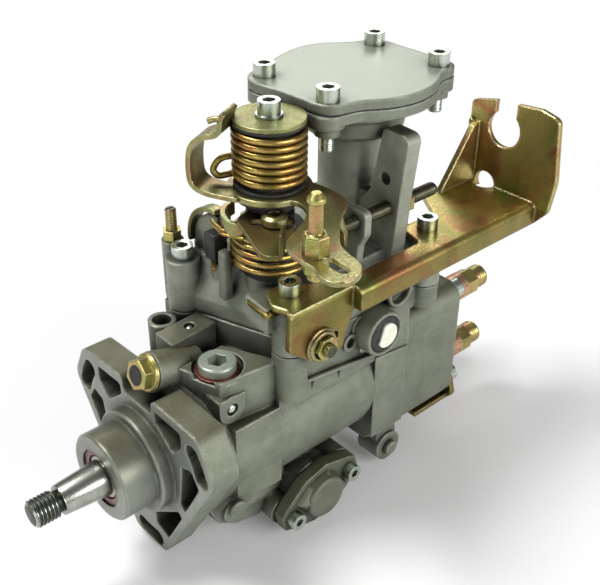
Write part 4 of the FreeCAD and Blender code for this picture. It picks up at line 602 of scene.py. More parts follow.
# turns from the vertical to each axis that a turned piece lies on
along = {
    "x": Matrix.Rotation(math.pi / 2, 4, "Y"), "y": Matrix.Rotation(-math.pi / 2, 4, "X"), "z": Matrix.Identity(4),
    "-y": Matrix.Rotation(math.pi / 2, 4, "X"), "inlet": Matrix.Rotation(math.radians(-76), 4, "Y"),
}
outletSpots = [(y, z) for y in (-19, 19) for z in (-19, 19)]
capsuleScrews = {"centre": (128.2, 1.7), "reach": (34.7, 20.3), "level": 129.0}
threads = {
    "shaftThread": dict(
        slot="steel", finish="threadDark", body="drive", axis="x", radius=5.99, depth=0.5, pitch=1.75, length=10.2,
        at=[(-55.5, 0, 0)]),
    "outletThreads": dict(
        slot="yellow_zinc", finish="fitting", body="pump", axis="x", radius=5.99, depth=0.3, pitch=1.5, length=8.4,
        at=[(205.3, y, z) for y, z in outletSpots]),
    "stopScrewThread": dict(
        slot="dark_steel", finish="dark", body="pump", axis="x", radius=2.99, depth=0.24, pitch=0.8, length=58.0,
        at=[(92.4, -31, 97)]),
    "capsuleScrewThreads": dict(
        slot="zinc_steel", finish="zinc", body="pump", axis="z", radius=2.99, depth=0.24, pitch=1.0, length=8.0,
        at=[(capsuleScrews["centre"][0] + x * capsuleScrews["reach"][0],
             capsuleScrews["centre"][1] + y * capsuleScrews["reach"][1], capsuleScrews["level"])
            for x in (-1, 1) for y in (-1, 1)]),
    "studThread": dict(
        slot="yellow_zinc", finish="fitting", body="pump", axis="z", radius=2.49, depth=0.22, pitch=0.8, length=13.0,
        at=[(48.5, 36, 82.0)]),
    "legBoltThread": dict(
        slot="yellow_zinc", finish="fitting", body="pump", axis="y", radius=2.99, depth=0.22, pitch=1.0, length=2.2,
        at=[(64, -55.3, 57)]),
    "studFootThread": dict(
        slot="yellow_zinc", finish="fitting", body="control", axis="z", radius=3.19, depth=0.22, pitch=1.0, length=2.6,
        at=[(42.4, -67.1, 107.8)]),
}
for threadName, thread in threads.items():
    turns = [Matrix.Translation(Vector(spot) * mm) @ along[thread["axis"]] for spot in thread["at"]]
    rows = int(thread["length"] / thread["pitch"] * threadForm["perPitch"]) + 1
    piece = grow(threadName, threadTree, {
        "Radius": thread["radius"] * mm, "Depth": thread["depth"] * mm, "Pitch": thread["pitch"] * mm,
        "Length": thread["length"] * mm, "Around": threadForm["around"], "Along": rows,
        "Finish": finishes[thread["finish"]]}, turns)
    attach(piece, thread["body"])
print("threads cut:", len(threads))

coils = {
    "torsionCoil": dict(radius=14.6, wire=1.48, turns=7.1, height=22.7, at=(69.3, -9.5, 120.9), start=100,
                        body="control", node="torsion_spring"),
    "returnCoil": dict(radius=16.6, wire=1.3, turns=3.9, height=14.6, at=(69.3, -9.5, 81.0), start=40,
                       body="pump", node="return_spring"),
}
for coilName, coil in coils.items():
    turn = Matrix.Translation(Vector(coil["at"]) * mm) @ Matrix.Rotation(math.radians(coil["start"]), 4, "Z")
    piece = grow(coilName, coilTree, {
        "Radius": coil["radius"] * mm, "Wire": coil["wire"] * mm, "Turns": coil["turns"],
        "Height": coil["height"] * mm, "Finish": finishes["spring"]}, [turn])
    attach(piece, coil["body"])
    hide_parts(coil["node"])
print("springs wound:", len(coils))


# pieces drawn in mesh code, in millimetres
def toMetres(name, mesh):
    bmesh.ops.recalc_face_normals(mesh, faces=mesh.faces)
    data = bpy.data.meshes.new(name)
    mesh.to_mesh(data)
    mesh.free()
    data.transform(Matrix.Scale(mm, 4))
    return data


def settle(name, mesh, finish, body, sharp=40):
    data = toMetres(name, mesh)
    data.polygons.foreach_set("use_smooth", [True] * len(data.polygons))
    data.set_sharp_from_angle(angle=math.radians(sharp))
    data.materials.append(finishes[finish])
    piece = place(name, data)
    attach(piece, body)
    return piece


# axes of each drawing plane: two for the outline, then the one of the thickness
planes = {"xy": (0, 1, 2), "xz": (0, 2, 1), "yz": (1, 2, 0)}


def slab(mesh, outline, low, high, plane="xy", bevel=0.5, top=None):
    # a plate between two levels; its upper outline may be another one
    first, second, third = planes[plane]
    rings = []
    for level, shape in ((low, outline), (high, top or outline)):
        ring = []
        for u, v in shape:
            spot = [0.0, 0.0, 0.0]
            spot[first], spot[second], spot[third] = u, v, level
            ring.append(mesh.verts.new(spot))
        rings.append(ring)
    under, over = rings
    faces = [mesh.faces.new(under), mesh.faces.new(list(reversed(over)))]
    for i in range(len(outline)):
        j = (i + 1) % len(outline)
        faces.append(mesh.faces.new((under[i], under[j], over[j], over[i])))
    if bevel:
        edges = list({edge for face in faces for edge in face.edges})
        bmesh.ops.bevel(mesh, geom=edges, offset=bevel, segments=3, profile=0.5, affect="EDGES", clamp_overlap=True)


def turnedSlab(mesh, degrees, **sizes):
    # a plate drawn square to the frame, then turned about the upright through the origin
    loose = bmesh.new()
    slab(loose, **sizes)
    turn = Matrix.Rotation(math.radians(degrees), 3, "Z")
    bmesh.ops.rotate(loose, cent=(0, 0, 0), matrix=turn, verts=loose.verts)
    scratch = bpy.data.meshes.new("scratchPlate")
    loose.to_mesh(scratch)
    loose.free()
    mesh.from_mesh(scratch)
    bpy.data.meshes.remove(scratch)


def lathe(mesh, profile, at, axis="z", steps=64):
    # pairs of distance along the axis and radius; a profile that stays off the axis closes into a ring
    turn = along[axis]
    rings = []
    for far, radius in profile:
        if radius == 0:
            rings.append([mesh.verts.new(Vector(at) + turn @ Vector((0, 0, far)))])
            continue
        ring = []
        for i in range(steps):
            angle = 2 * math.pi * i / steps
            spot = Vector((radius * math.cos(angle), radius * math.sin(angle), far))
            ring.append(mesh.verts.new(Vector(at) + turn @ spot))
        rings.append(ring)
    pairs = list(zip(rings, rings[1:]))
    if profile[0][1] > 0:
        pairs.append((rings[-1], rings[0]))
    for low, high in pairs:
        for i in range(steps):
            corners = [low[i % len(low)], low[(i + 1) % len(low)], high[(i + 1) % len(high)], high[i % len(high)]]
            corners = list(dict.fromkeys(corners))
            if len(corners) > 2:
                mesh.faces.new(corners)


def between(a, b, c, e, t):
    # a point on the smooth curve from b to c
    return 0.5 * (2 * b + (c - a) * t + (2 * a - 5 * b + 4 * c - e) * t * t + (3 * b - a - 3 * c + e) * t * t * t)


def smoothPath(points, steps=10):
    spots = [Vector(point) for point in points]
    spots = [spots[0] * 2 - spots[1]] + spots + [spots[-1] * 2 - spots[-2]]
    path = []
    for a, b, c, e in zip(spots, spots[1:], spots[2:], spots[3:]):
        path += [between(a, b, c, e, i / steps) for i in range(steps)]
    return path + [spots[-2]]


def softOutline(points, steps=5):
    # closed smooth outline through the points
    spots = [Vector(point) for point in points]
    outline = []
    for i in range(len(spots)):
        a, b, c, e = (spots[(i + k) % len(spots)] for k in (-1, 0, 1, 2))
        outline += [between(a, b, c, e, k / steps) for k in range(steps)]
    return outline


def heading(path, i):
    return (path[min(i + 1, len(path) - 1)] - path[max(i - 1, 0)]).normalized()


def bandOutline(path, thick):
    # both sides of a bent band of sheet, seen on its edge
    near, far = [], []
    for i, spot in enumerate(path):
        ahead = heading(path, i)
        side = Vector((-ahead.y, ahead.x)) * thick / 2
        near.append(spot + side)
        far.append(spot - side)
    return near + far[::-1]


def wire(mesh, points, radius, sides=12):
    path = smoothPath(points)
    rings = []
    across = heading(path, 0).orthogonal().normalized()
    for i, spot in enumerate(path):
        ahead = heading(path, i)
        across = (across - ahead * across.dot(ahead)).normalized()
        other = ahead.cross(across)
        rings.append([mesh.verts.new(spot + (across * math.cos(a) + other * math.sin(a)) * radius)
                      for a in (2 * math.pi * k / sides for k in range(sides))])
    for low, high in zip(rings, rings[1:]):
        for k in range(sides):
            mesh.faces.new((low[k], low[(k + 1) % sides], high[(k + 1) % sides], high[k]))
    mesh.faces.new(rings[0])
    mesh.faces.new(list(reversed(rings[-1])))


def ringSector(mesh, centre, inner, outer, start, stop, low, high, plane, steps=20, bevel=0.3):
    angles = [math.radians(start + (stop - start) * i / steps) for i in range(steps + 1)]
    outline = [(centre[0] + outer * math.cos(a), centre[1] + outer * math.sin(a)) for a in angles]
    outline += [(centre[0] + inner * math.cos(a), centre[1] + inner * math.sin(a)) for a in reversed(angles)]
    slab(mesh, outline, low, high, plane, bevel)


def longHole(start, end, radius, steps=10):
    a, b = Vector(start), Vector(end)
    lie = math.atan2(b.y - a.y, b.x - a.x)
    outline = []
    for centre, turn in ((b, -math.pi / 2), (a, math.pi / 2)):
        for i in range(steps + 1):
            angle = lie + turn + math.pi * i / steps
            outline.append((centre.x + radius * math.cos(angle), centre.y + radius * math.sin(angle)))
    return outline


def pierce(piece, outline, low, high):
    # cuts a hole through a flat piece
    mesh = bmesh.new()
    slab(mesh, outline, low, high, "xy", 0)
    cutter = place("slotCutter", toMetres("slotCutter", mesh))
    step = piece.modifiers.new("slot", "BOOLEAN")
    step.operation = "DIFFERENCE"
    step.solver = "EXACT"
    step.object = cutter
    piece.data = takeShape(piece, step)
    bpy.data.objects.remove(cutter)


def build(name, plan):
    # a piece from its plan: the shapes that it is joined from, then the hole through it
    mesh = bmesh.new()
    for maker, sizes in plan["shapes"]:
        maker(mesh, **sizes)
    piece = settle(name, mesh, plan["finish"], plan["body"], plan.get("sharp", 40))
    if "hole" in plan:
        pierce(piece, longHole(**plan["hole"]), *plan["cut"])
    return piece


# control lever: plate round the disc, bent stop tab and J-shaped arm
leverPlatePlan = {
    "finish": "gold", "body": "control", "hole": dict(start=(43.0, -73.2), end=(42.6, -81.4), radius=2.5),
    "cut": (110, 119),
    "shapes": [(slab, dict(low=115.62, high=117.6, bevel=0.45, outline=softOutline([
        (64.7, -25.2), (66.2, -31.5), (64.8, -36.8), (61.4, -40.9), (56.9, -44.4), (50.2, -47.6), (43.4, -50.6),
        (39.0, -54.4), (36.5, -60.3), (35.8, -66.7), (35.6, -73.4), (33.5, -78.4), (33.2, -83.4), (36.0, -87.4),
        (41.2, -88.6), (46.1, -86.9), (49.9, -83.3), (51.6, -79.2), (52.4, -74.6), (55.2, -67.1), (62.2, -59.4),
        (71.6, -50.6), (78.6, -46.4), (82.6, -42.4), (84.2, -36), (84.4, -28), (83, -17), (79.5, -8), (74, 1),
        (66, -2), (62, -12)])))],
}
leverPlate = build("leverPlate", leverPlatePlan)
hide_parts("throttle_lever")

sheet = 2.1   # thickness of the lever's arm and of the clip
armPath = [(-33, 116.5), (-27, 116.6), (-20, 116.9), (-15, 118.2), (-12.2, 120.8), (-11.4, 125), (-11.5, 131),
           (-12.6, 136.4), (-15.6, 140.2), (-20, 142.2), (-24.2, 143.6), (-26.2, 146.4), (-26.5, 149.6), (-28.0, 153.0)]
leverArmPlan = {
    "finish": "gold", "body": "control",
    "shapes": [
        (slab, dict(low=-36, high=-26, plane="xz", bevel=0.4, outline=[
            (82.6, 117.5), (84.6, 117.5), (84.7, 112), (88.7, 100), (90.7, 98), (90.7, 90), (88.5, 90), (88.5, 97),
            (86.4, 99.5), (82.5, 112)])),
        (turnedSlab, dict(degrees=117.3, low=-51.9, high=-38.9, plane="xz", bevel=0.4,
                          outline=bandOutline(smoothPath(armPath, 5), sheet))),
        (wire, dict(points=[(47.0, -5.6, 151.0), (45.8, -3.4, 150.6), (44.4, -1.6, 149.6)], radius=1.3)),
    ],
}
leverArm = build("leverArm", leverArmPlan)
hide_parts("throttle_lever")

studAt = (43, -66.2, 0)
leverStudPlan = {
    "finish": "fitting", "body": "control", "sharp": 30,
    "shapes": [
        (lathe, dict(at=studAt, steps=6, profile=[
            (117.66, 0), (117.66, 5.25), (125.5, 5.25), (126.2, 4.6), (126.2, 0)])),
        (lathe, dict(at=studAt, steps=6, profile=[(110.6, 0), (110.6, 5.2), (115.55, 5.2), (115.55, 0)])),
        (lathe, dict(at=studAt, steps=40, profile=[
            (126.1, 0), (126.1, 3.3), (126.8, 2.75), (138.4, 2.75), (139.2, 3.5), (140.7, 3.5), (142.7, 1.8),
            (142.7, 0)])),
    ],
}
leverStud = build("leverStud", leverStudPlan)
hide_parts("lever_stud")

# triangular adjuster plate with its turned-up tab and the black hub and thin disc under it: partly a rubber boot,
# partly painted shade under the plate
adjusterPlatePlan = {
    "finish": "olive", "body": "control", "hole": dict(start=(54.6, -17.4), end=(64.4, -27.0), radius=2.8),
    "cut": (104, 108),
    "shapes": [(slab, dict(low=105.2, high=107.2, bevel=0.4, outline=softOutline([
        (47.9, -16), (49.2, -12.4), (52.4, -8.9), (57, -7.6), (62, -6), (67, -5), (70.2, -9), (70.8, -15), (70, -21),
        (67.8, -27.6), (61.4, -32.4), (55.4, -36.2), (50.4, -40.8), (46.2, -43.9), (43.6, -44.6), (40.8, -43),
        (39.4, -39.6), (41.2, -33), (44.6, -24.6)], 4)))],
}
adjusterPlate = build("adjusterPlate", adjusterPlatePlan)
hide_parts("adjuster_plate")

adjusterTabPlan = {
    "finish": "olive", "body": "control",
    "shapes": [(slab, dict(low=105.3, high=114.4, bevel=0.6,
                           outline=[(44.4, -46.0), (53.8, -37.6), (52.6, -36.2), (43.2, -44.6)],
                           top=[(47.0, -43.6), (53.8, -37.6), (52.6, -36.2), (45.8, -42.2)]))],
}
adjusterTab = build("adjusterTab", adjusterTabPlan)
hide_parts("adjuster_plate")

leverShaft = (69.3, -9.5, 0)
# black hub and thin black disc: partly rubber boot, partly painted shade under the plate where the slots look down
adjusterHubAndShadePlan = {
    "finish": "rubber", "body": "control",
    "shapes": [
        (lathe, dict(at=leverShaft, profile=[(99, 6.06), (99, 10.6), (105.3, 10.6), (105.3, 6.06)])),
        (lathe, dict(at=leverShaft, profile=[(97.7, 6.06), (97.7, 14.6), (98.2, 15.0), (98.7, 14.6), (98.7, 6.06)])),
    ],
}
adjusterHubAndShade = build("adjusterHubAndShade", adjusterHubAndShadePlan)
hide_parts("adjuster_plate")

# black rings and the disc of the lever round the torsion spring
blackRingsPlan = {
    "finish": "rubber", "body": "control",
    "shapes": [
        (lathe, dict(at=leverShaft, profile=[
            (117.68, 6.05), (117.68, 15.1), (118.1, 15.5), (119.0, 15.5), (119.4, 15.0), (119.4, 12.5),
            (144.3, 12.5), (144.5, 14.9), (144.9, 15.4), (145.7, 15.4), (146.1, 15.0), (146.1, 6.05)])),
        (lathe, dict(at=leverShaft, profile=[
            (108.0, 6.05), (108.0, 11.0), (111.6, 11.4), (112.0, 15.0), (112.4, 15.4), (114.4, 15.4), (114.7, 6.05)])),
        (lathe, dict(at=leverShaft, profile=[(76.3, 6.05), (76.3, 12.6), (81.5, 13.2), (83.2, 12.6), (83.2, 6.05)])),
    ],
}
blackRings = build("blackRings", blackRingsPlan)
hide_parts("spring_rings")
leverDiscPlan = {
    "finish": "gold", "body": "control",
    "shapes": [(lathe, dict(at=leverShaft, profile=[
        (114.75, 12.7), (114.75, 17.9), (115.15, 18.3), (117.25, 18.3), (117.66, 17.9), (117.66, 12.7)]))],
}
build("leverDisc", leverDiscPlan)
print("control lever drawn")

# wire ends of the two springs and the curled clip that the lower one hooks round
wireEnds = {
    "torsionHook": dict(body="control", radius=1.45, points=[
        (60.5, 1.9, 121.6), (56.5, 3.6, 121.0), (53.6, 5.6, 120.8), (52.4, 7.2, 123.0), (53.8, 6.9, 126.0),
        (56.2, 5.4, 128.2), (59.5, 3.4, 128.8)]),
    "returnHook": dict(body="control", radius=1.15, points=[
        (51.1, 8.1, 99.0), (49.3, 3.3, 99.2), (49.0, -2.2, 99.2), (51.3, -7.2, 99.0), (52.4, -10.6, 98.2),
        (54.4, -14.2, 96.6), (57.6, -18.6, 95.6)]),
    "returnTurn": dict(body="control", radius=0.8, points=[
        (49.0, 1.2, 98.3), (48.0, -3.2, 98.3), (49.8, -8.2, 98.3), (52.0, -12.4, 98.3)]),
    "returnFoot": dict(body="pump", radius=1.1, points=[
        (57, 12.6, 78.5), (53.6, 11.6, 77.6), (51.2, 8.4, 77.2), (48.6, 4.6, 76.8)]),
}
for wireName, end in wireEnds.items():
    build(wireName, {"finish": "spring", "body": end["body"],
                     "shapes": [(wire, dict(points=end["points"], radius=end["radius"]))]})
clipPath = [(63, 8.3), (57.2, 6.4), (52.2, 1.8), (49.6, -4.6), (50.8, -9.4), (53.8, -9.8), (56.2, -6.6), (59, -4.2),
            (63, -4.6)]
curledClipPlan = {
    "finish": "gold", "body": "control",
    "shapes": [(slab, dict(low=98.8, high=105.2, bevel=0.35, outline=bandOutline(smoothPath(clipPath, 8), sheet)))],
}
build("curledClip", curledClipPlan)
print("spring ends bent:", len(wireEnds))

# cold start lever: grey drum with a bent band over it
coldCentre = (14, 81)
coldDrumPlan = {
    "finish": "cover", "body": "pump",
    "shapes": [(ringSector, dict(centre=coldCentre, inner=2.5, outer=15.9, start=-50, stop=96, low=57, high=65,
                                 plane="yz", steps=24, bevel=0.8))],
}
coldBandPlan = {
    "finish": "gold", "body": "pump",
    "shapes": [(ringSector, dict(centre=coldCentre, inner=17.4, outer=19.6, start=-9, stop=96, low=55.4, high=60.8,
                                 plane="yz"))],
}
build("coldStartDrum", coldDrumPlan)
coldBand = build("coldStartBand", coldBandPlan)
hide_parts("cold_start_plate")

stopBlockPlan = {
    "finish": "rubber", "body": "pump",
    "shapes": [(slab, dict(low=79, high=92, bevel=0.6, outline=[(50, 6), (57.5, 6), (57.5, 13.5), (50, 13.5)]))],
}
stopBlock = build("stopBlock", stopBlockPlan)
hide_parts("rubber_stop")

# cast post by the rubber stop, shelf with its ribs, lug pad and side bosses
shelfRibs = {"thick": 2.6, "drop": 8.5, "tops": [(58, 31.2), (72, 29.2), (89, 26.8)]}
plugAt = (108.2, 0, 40.6)
sideBoss = (123.6, 0, 55)
castDetailsPlan = {
    "finish": "housing", "body": "pump",
    "shapes": [
        (slab, dict(low=64, high=87.6, bevel=0.9, outline=[(47.6, -3.2), (53, -3.2), (54.4, 2.6), (48.6, 2.6)],
                    top=[(48.2, -2.8), (52.6, -2.8), (53.4, 2.2), (48.8, 2.2)])),
        (slab, dict(low=-38.4, high=-35.5, plane="xz", bevel=0.7,
                    outline=[(52, 31), (112, 22.4), (112, 24.6), (52, 33.2)])),
        *[(slab, dict(low=x - shelfRibs["thick"] / 2, high=x + shelfRibs["thick"] / 2, plane="yz", bevel=0.4,
                      outline=[(-35.6, top), (-38, top), (-35.6, top - shelfRibs["drop"])]))
          for x, top in shelfRibs["tops"]],
        (lathe, dict(at=(127, 0, -45), axis="-y", profile=[
            (35.4, 0), (35.4, 3.95), (38.6, 3.95), (39.2, 3.4), (39.2, 0)])),
        (slab, dict(low=-36.9, high=-35.6, plane="xz", bevel=0.6,
                    outline=[(112.6, -31), (135.8, -31), (135.8, 17), (112.6, 20)])),
        (lathe, dict(at=sideBoss, axis="-y", profile=[
            (34, 6.1), (34, 8.8), (39.6, 8.4), (40.2, 7.8), (40.2, 6.5), (37, 6.1)])),
        (lathe, dict(at=sideBoss, axis="-y", profile=[(34, 0), (34, 6.2), (36.4, 6.2), (36.4, 0)])),
        (lathe, dict(at=plugAt, axis="-y", profile=[
            (34, 9.3), (34, 11.9), (45.2, 11.5), (45.9, 10.9), (45.9, 9.9), (45.2, 9.3)])),
        (lathe, dict(at=(24, 0, -21.6), axis="-y", profile=[
            (36, 0), (36, 4.6), (38.4, 4.6), (38.8, 4.2), (38.8, 0)])),
    ],
}
build("castDetails", castDetailsPlan)

# side plug: black seat and a cream centre with one flat
plugSeatPlan = {
    "finish": "rubber", "body": "pump",
    "shapes": [(lathe, dict(at=plugAt, axis="-y", profile=[
        (44.6, 0), (44.6, 9.15), (45.55, 9.15), (45.65, 9.0), (45.65, 0)]))],
}
plugSeat = build("plugSeat", plugSeatPlan)
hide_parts("solenoid_plug")
cream = {"centre": (108.6, 40.4), "radius": 6.2, "sweep": 256, "turn": -0.3, "steps": 30}
creamAngles = [math.radians(cream["sweep"] * (i / cream["steps"] - 0.5)) + cream["turn"]
               for i in range(cream["steps"] + 1)]
creamPlugPlan = {
    "finish": "cream", "body": "pump",
    "shapes": [(slab, dict(low=-47.0, high=-45.6, plane="xz", bevel=0.45, outline=[
        (cream["centre"][0] + cream["radius"] * math.cos(a), cream["centre"][1] + cream["radius"] * math.sin(a))
        for a in creamAngles]))],
}
build("creamPlug", creamPlugPlan)

# facets of the timing cover: each step is a level and a share of the full size, below and above
facets = {
    "centre": (73.5, -41), "tilt": math.radians(13.7),
    "steps": [(-40.9, 1.0, -43.6, 0.86), (-43.5, 0.86, -45.4, 0.602)],
    "corners": [(-16.5, 6.5), (-7, 12), (7, 12), (10.5, 6), (16.5, -6.5), (7, -12), (-7, -12), (-10.5, -6)],
}


def facetRing(share):
    across, down = facets["centre"]
    cosine, sine = math.cos(facets["tilt"]), math.sin(facets["tilt"])
    return [(across + share * (u * cosine - w * sine), down + share * (u * sine + w * cosine))
            for u, w in facets["corners"]]


timingFacetsPlan = {
    "finish": "timing", "body": "pump",
    "shapes": [(slab, dict(low=low, high=high, plane="xz", bevel=0.35, outline=facetRing(wide), top=facetRing(narrow)))
               for low, wide, high, narrow in facets["steps"]],
}
build("timingFacets", timingFacetsPlan)
print("castings detailed")

# small plate under the strip, flange washers of the leg bolt, weld on the gusset
bracketWingPlan = {
    "finish": "bracket", "body": "pump",
    "shapes": [(slab, dict(low=72.4, high=74.9, bevel=0.6, outline=[
        (45.4, -21.4), (53, -18.8), (61, -19.4), (60, -34), (51, -37.2), (43.6, -37)]))],
}
legBolt = (64, 0, 57)
legWashersPlan = {
    "finish": "gold", "body": "pump",
    "shapes": [
        (lathe, dict(at=legBolt, axis="-y", profile=[
            (48.05, 5.9), (48.05, 8.2), (48.9, 8.2), (49.3, 7.7), (49.3, 5.9)])),
        (lathe, dict(at=legBolt, axis="-y", profile=[
            (49.35, 5.9), (49.35, 7.3), (50.0, 7.6), (50.7, 7.1), (50.9, 5.9)])),
    ],
}
weldBeadPlan = {
    "finish": "bracket", "body": "pump",
    "shapes": [(wire, dict(points=[(204.4, -9.6, 108.2), (205.0, -9.2, 109.9), (205.6, -9.8, 111.0)], radius=1.5))],
}
build("bracketWing", bracketWingPlan)
build("legWashers", legWashersPlan)
build("weldBead", weldBeadPlan)

# plain skin of the taper, dark neck and end of the shaft
shaftLine = (0, 0, 0)
taperSkinPlan = {
    "finish": "ground", "body": "drive",
    "shapes": [(lathe, dict(at=shaftLine, axis="x", steps=96, profile=[
        (-42.75, 6.80), (-42.4, 6.95), (-22.55, 8.55), (-22.55, 8.40), (-42.75, 6.60)]))],
}
shaftEndPlan = {
    "finish": "threadDark", "body": "drive",
    "shapes": [
        (lathe, dict(at=shaftLine, axis="x", profile=[
            (-45.3, 4.70), (-45.3, 5.15), (-44.9, 4.95), (-42.8, 4.95), (-42.8, 4.70)])),
        (lathe, dict(at=shaftLine, axis="x", profile=[
            (-56.4, 0.9), (-56.4, 4.6), (-55.7, 5.5), (-55.2, 5.5), (-55.2, 0.9)])),
        (lathe, dict(at=shaftLine, axis="x", profile=[(-56.32, 0), (-56.32, 1.0), (-56.0, 1.0), (-56.0, 0)])),
    ],
}
build("taperSkin", taperSkinPlan)
build("shaftEnd", shaftEndPlan)

# fuel inlet union: hexagon with its washers, a black ring and disc that paint the shade of its bore, and cast boss
inletAt = (15.9, 0, 41.2)
unionHexPlan = {
    "finish": "fitting", "body": "pump", "sharp": 30,
    "shapes": [
        (lathe, dict(at=inletAt, axis="inlet", steps=6, profile=[
            (11, 0), (11, 7.5), (15.2, 7.5), (15.8, 6.9), (15.8, 0)])),
        (lathe, dict(at=inletAt, axis="inlet", profile=[
            (9.0, 4.0), (9.0, 8.5), (9.3, 8.8), (9.9, 8.8), (10.1, 8.4), (10.6, 8.4), (11.05, 7.9), (11.05, 4.0)])),
    ],
}
unionHex = build("unionHex", unionHexPlan)
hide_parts("fuel_inlet_union")
# black ring and disc on the end of the union: painted shade of the bore
unionBorePlan = {
    "finish": "rubber", "body": "pump",
    "shapes": [
        (lathe, dict(at=inletAt, axis="inlet", profile=[
            (15.5, 2.4), (15.5, 4.7), (15.9, 4.6), (16.1, 4.2), (16.1, 3.2), (15.9, 2.4)])),
        (lathe, dict(at=inletAt, axis="inlet", profile=[(15.4, 0), (15.4, 2.5), (15.84, 2.5), (15.84, 0)])),
    ],
}
unionBore = build("unionBore", unionBorePlan)
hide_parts("fuel_inlet_union")
unionBossPlan = {
    "finish": "housing", "body": "pump",
    "shapes": [(lathe, dict(at=inletAt, axis="inlet", profile=[
        (-9, 0), (-9, 8.4), (7.4, 9.2), (8.6, 8.8), (8.95, 8.2), (8.95, 0)]))],
}
build("unionBoss", unionBossPlan)

# lid and flange of the boost capsule, with the gasket line between them
lidOutline = [(84.6, 22.2), (90.4, 28.4), (99.9, 31.9), (111.8, 36.4), (122.8, 40.2), (133.7, 41.6), (143.8, 39.4),
              (152.6, 33.6), (158.9, 30.0), (164.2, 28.6), (168.6, 25.4), (170.4, 20.6), (170.2, 11.4), (170.3, -0.7),
              (170.4, -12.6), (169.9, -19.2), (167.6, -24.2), (163.4, -26.2), (158.6, -26.1), (153.4, -28.2),
              (145.4, -33.2), (136.6, -36.2), (127.2, -37.0), (117.8, -35.3), (110.2, -31.6), (103.5, -27.9),
              (97.6, -26.6), (92.6, -25.6), (88.8, -22.6), (86.7, -17.0), (86.4, -9.4), (86, 2.3), (84.6, 13.4)]
capsule = {"centre": (128.2, 1.7), "bore": 27.0, "boreSteps": 24, "gasketShare": 0.985}
lidShape = softOutline(lidOutline, 4)
middle = Vector(capsule["centre"])
gasketShape = [middle + (spot - middle) * capsule["gasketShare"] for spot in lidShape]
capsuleBore = dict(start=middle, end=middle + Vector((0.01, 0)), radius=capsule["bore"], steps=capsule["boreSteps"])
boostLidPlan = {
    "finish": "capsule", "body": "pump", "shapes": [(slab, dict(outline=lidShape, low=146.68, high=150.89, bevel=0.6))],
}
boostGasketPlan = {
    "finish": "gasket", "body": "pump", "hole": capsuleBore, "cut": (140, 150),
    "shapes": [(slab, dict(outline=gasketShape, low=145.9, high=146.8, bevel=0))],
}
boostFlangePlan = {
    "finish": "capsule", "body": "pump", "hole": capsuleBore, "cut": (140, 150),
    "shapes": [(slab, dict(outline=lidShape, low=141.4, high=146.0, bevel=0.5))],
}
boostLid = build("boostLid", boostLidPlan)
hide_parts("boost_cover")
build("boostGasket", boostGasketPlan)
build("boostFlange", boostFlangePlan)

# copper coloured necks and bright collars over the delivery holders
neckPlan = {
    "finish": "neck", "body": "pump",
    "shapes": [(lathe, dict(at=(0, y, z), axis="x", profile=[
        (184.4, 6.6), (184.4, 7.45), (196.9, 7.45), (197.2, 7.1), (197.2, 6.6)])) for y, z in outletSpots],
}
collarPlan = {
    "finish": "zinc", "body": "pump",
    "shapes": [(lathe, dict(at=(0, y, z), axis="x", profile=[
        (176.1, 7.6), (176.1, 8.25), (182.9, 8.25), (183.6, 7.8), (184.3, 7.6), (184.3, 7.5)]))
        for y, z in outletSpots],
}
build("holderNecks", neckPlan)
build("holderCollars", collarPlan)
print("detail pieces made")

# studio: the floor keeps the shadow near the object and fades to white further out
floorLook = {"size": 3.0, "drop": 0.0002, "tone": (0.75, 0.75, 0.75, 1), "centre": (0.08, 0),
             "fade": (0.2, 0.5, 0.1, 1.0)}


def makeFloor():
    size = floorLook["size"]
    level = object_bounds()[0][2] - floorLook["drop"]
    mesh = bpy.data.meshes.new("studioFloor")
    mesh.from_pydata([(-size, -size, level), (size, -size, level), (size, size, level), (-size, size, level)], [],
                     [(0, 1, 2, 3)])
    floor = place("studioFloor", mesh)
    made = bpy.data.materials.new("studioWhite")
    made.use_nodes = True
    tree = made.node_tree
    tree.nodes.clear()
    matt = addNode(tree, "ShaderNodeBsdfDiffuse")
    matt.inputs["Color"].default_value = floorLook["tone"]
    white = addNode(tree, "ShaderNodeEmission")
    path = addNode(tree, "ShaderNodeLightPath")
    seen = calc(tree, "MAXIMUM", path.outputs["Is Camera Ray"], path.outputs["Is Glossy Ray"])
    away = joinVectors(tree, "DISTANCE", objectPlace(tree), (*floorLook["centre"], level))
    mix = addNode(tree, "ShaderNodeMixShader")
    feed(tree, calc(tree, "MULTIPLY", seen, remap(tree, away["Value"], *floorLook["fade"])), mix.inputs[0])
    tree.links.new(matt.outputs[0], mix.inputs[1])
    tree.links.new(white.outputs[0], mix.inputs[2])
    output = addNode(tree, "ShaderNodeOutputMaterial")
    tree.links.new(mix.outputs[0], output.inputs["Surface"])
    mesh.materials.append(made)


def makeLamp(name, where, size, power, target=(0.075, 0, 0.04)):
    data = bpy.data.lights.new(name, "AREA")
    data.shape = "RECTANGLE"
    data.size, data.size_y = size
    data.energy = power
    lamp = place(name, data)
    lamp.location = where
    lamp.rotation_euler = (Vector(target) - Vector(where)).to_track_quat("-Z", "Y").to_euler()


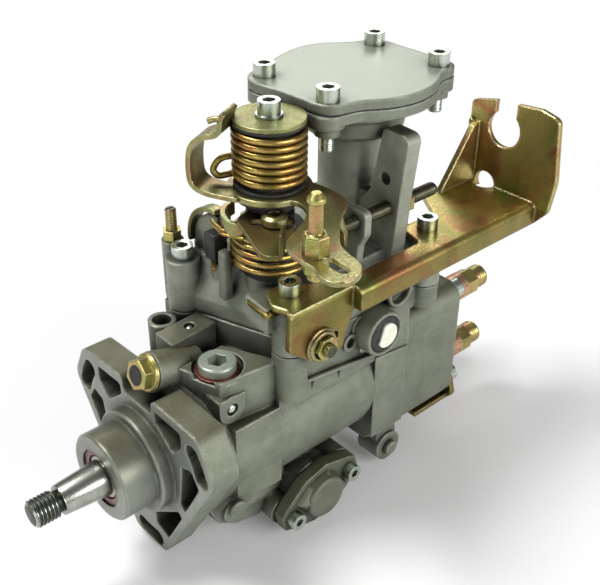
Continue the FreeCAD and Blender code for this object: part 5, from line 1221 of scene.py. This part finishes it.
makeFloor()
lamps = {
    "keyLamp": dict(where=(-0.5, 0.5, 1.45), size=(0.6, 0.6), power=28.5),
    "sideLamp": dict(where=(0.3, -0.95, 0.42), size=(0.8, 0.45), power=9.5),
    "frontLamp": dict(where=(-1.0, -0.3, 0.25), size=(0.5, 0.5), power=1.8),
    "rimLamp": dict(where=(0.6, 0.7, 0.6), size=(0.7, 0.4), power=3.0),
}
for lampName, lamp in lamps.items():
    makeLamp(lampName, **lamp)

# soft fill for the object, plain white where the camera sees past the floor
skyLook = {"fill": (0.94, 0.96, 1.0, 1), "fillStrength": 0.17, "backdrop": (1, 1, 1, 1), "backdropStrength": 1.0}
world = bpy.data.worlds.new("studioWorld")
bpy.context.scene.world = world
world.use_nodes = True
sky = world.node_tree
fill = sky.nodes["Background"]
backdrop = addNode(sky, "ShaderNodeBackground")
for light, word in ((fill, "fill"), (backdrop, "backdrop")):
    light.inputs[0].default_value = skyLook[word]
    light.inputs[1].default_value = skyLook[word + "Strength"]
choose = addNode(sky, "ShaderNodeMixShader")
sky.links.new(addNode(sky, "ShaderNodeLightPath").outputs["Is Camera Ray"], choose.inputs[0])
sky.links.new(fill.outputs[0], choose.inputs[1])
sky.links.new(backdrop.outputs[0], choose.inputs[2])
sky.links.new(choose.outputs[0], sky.nodes["World Output"].inputs["Surface"])

# camera of the photograph: place in millimetres, angles in radians
view = {"place": (-162.637, -283.6145, 289.4449), "azimuth": -0.738824, "height": 0.562847, "roll": 0.0078986,
        "lens": 56.06, "sensor": 36, "nearest": 0.01}
azimuth, elevation, roll = view["azimuth"], view["height"], view["roll"]
forward = Vector((-math.sin(azimuth) * math.cos(elevation), math.cos(azimuth) * math.cos(elevation),
                  -math.sin(elevation)))
level = forward.cross(Vector((0, 0, 1))).normalized()
upright = level.cross(forward)
right = level * math.cos(roll) + upright * math.sin(roll)
up = upright * math.cos(roll) - level * math.sin(roll)
cameraData = bpy.data.cameras.new("photoCamera")
cameraData.lens = view["lens"]
cameraData.sensor_width = view["sensor"]
cameraData.clip_start = view["nearest"]
camera = place("photoCamera", cameraData)
camera.matrix_world = Matrix.Translation(Vector(view["place"]) * mm) @ Matrix(
    (right, up, -forward)).transposed().to_4x4()
bpy.context.scene.camera = camera
bpy.context.scene.view_settings.view_transform = "Standard"
print("studio ready")
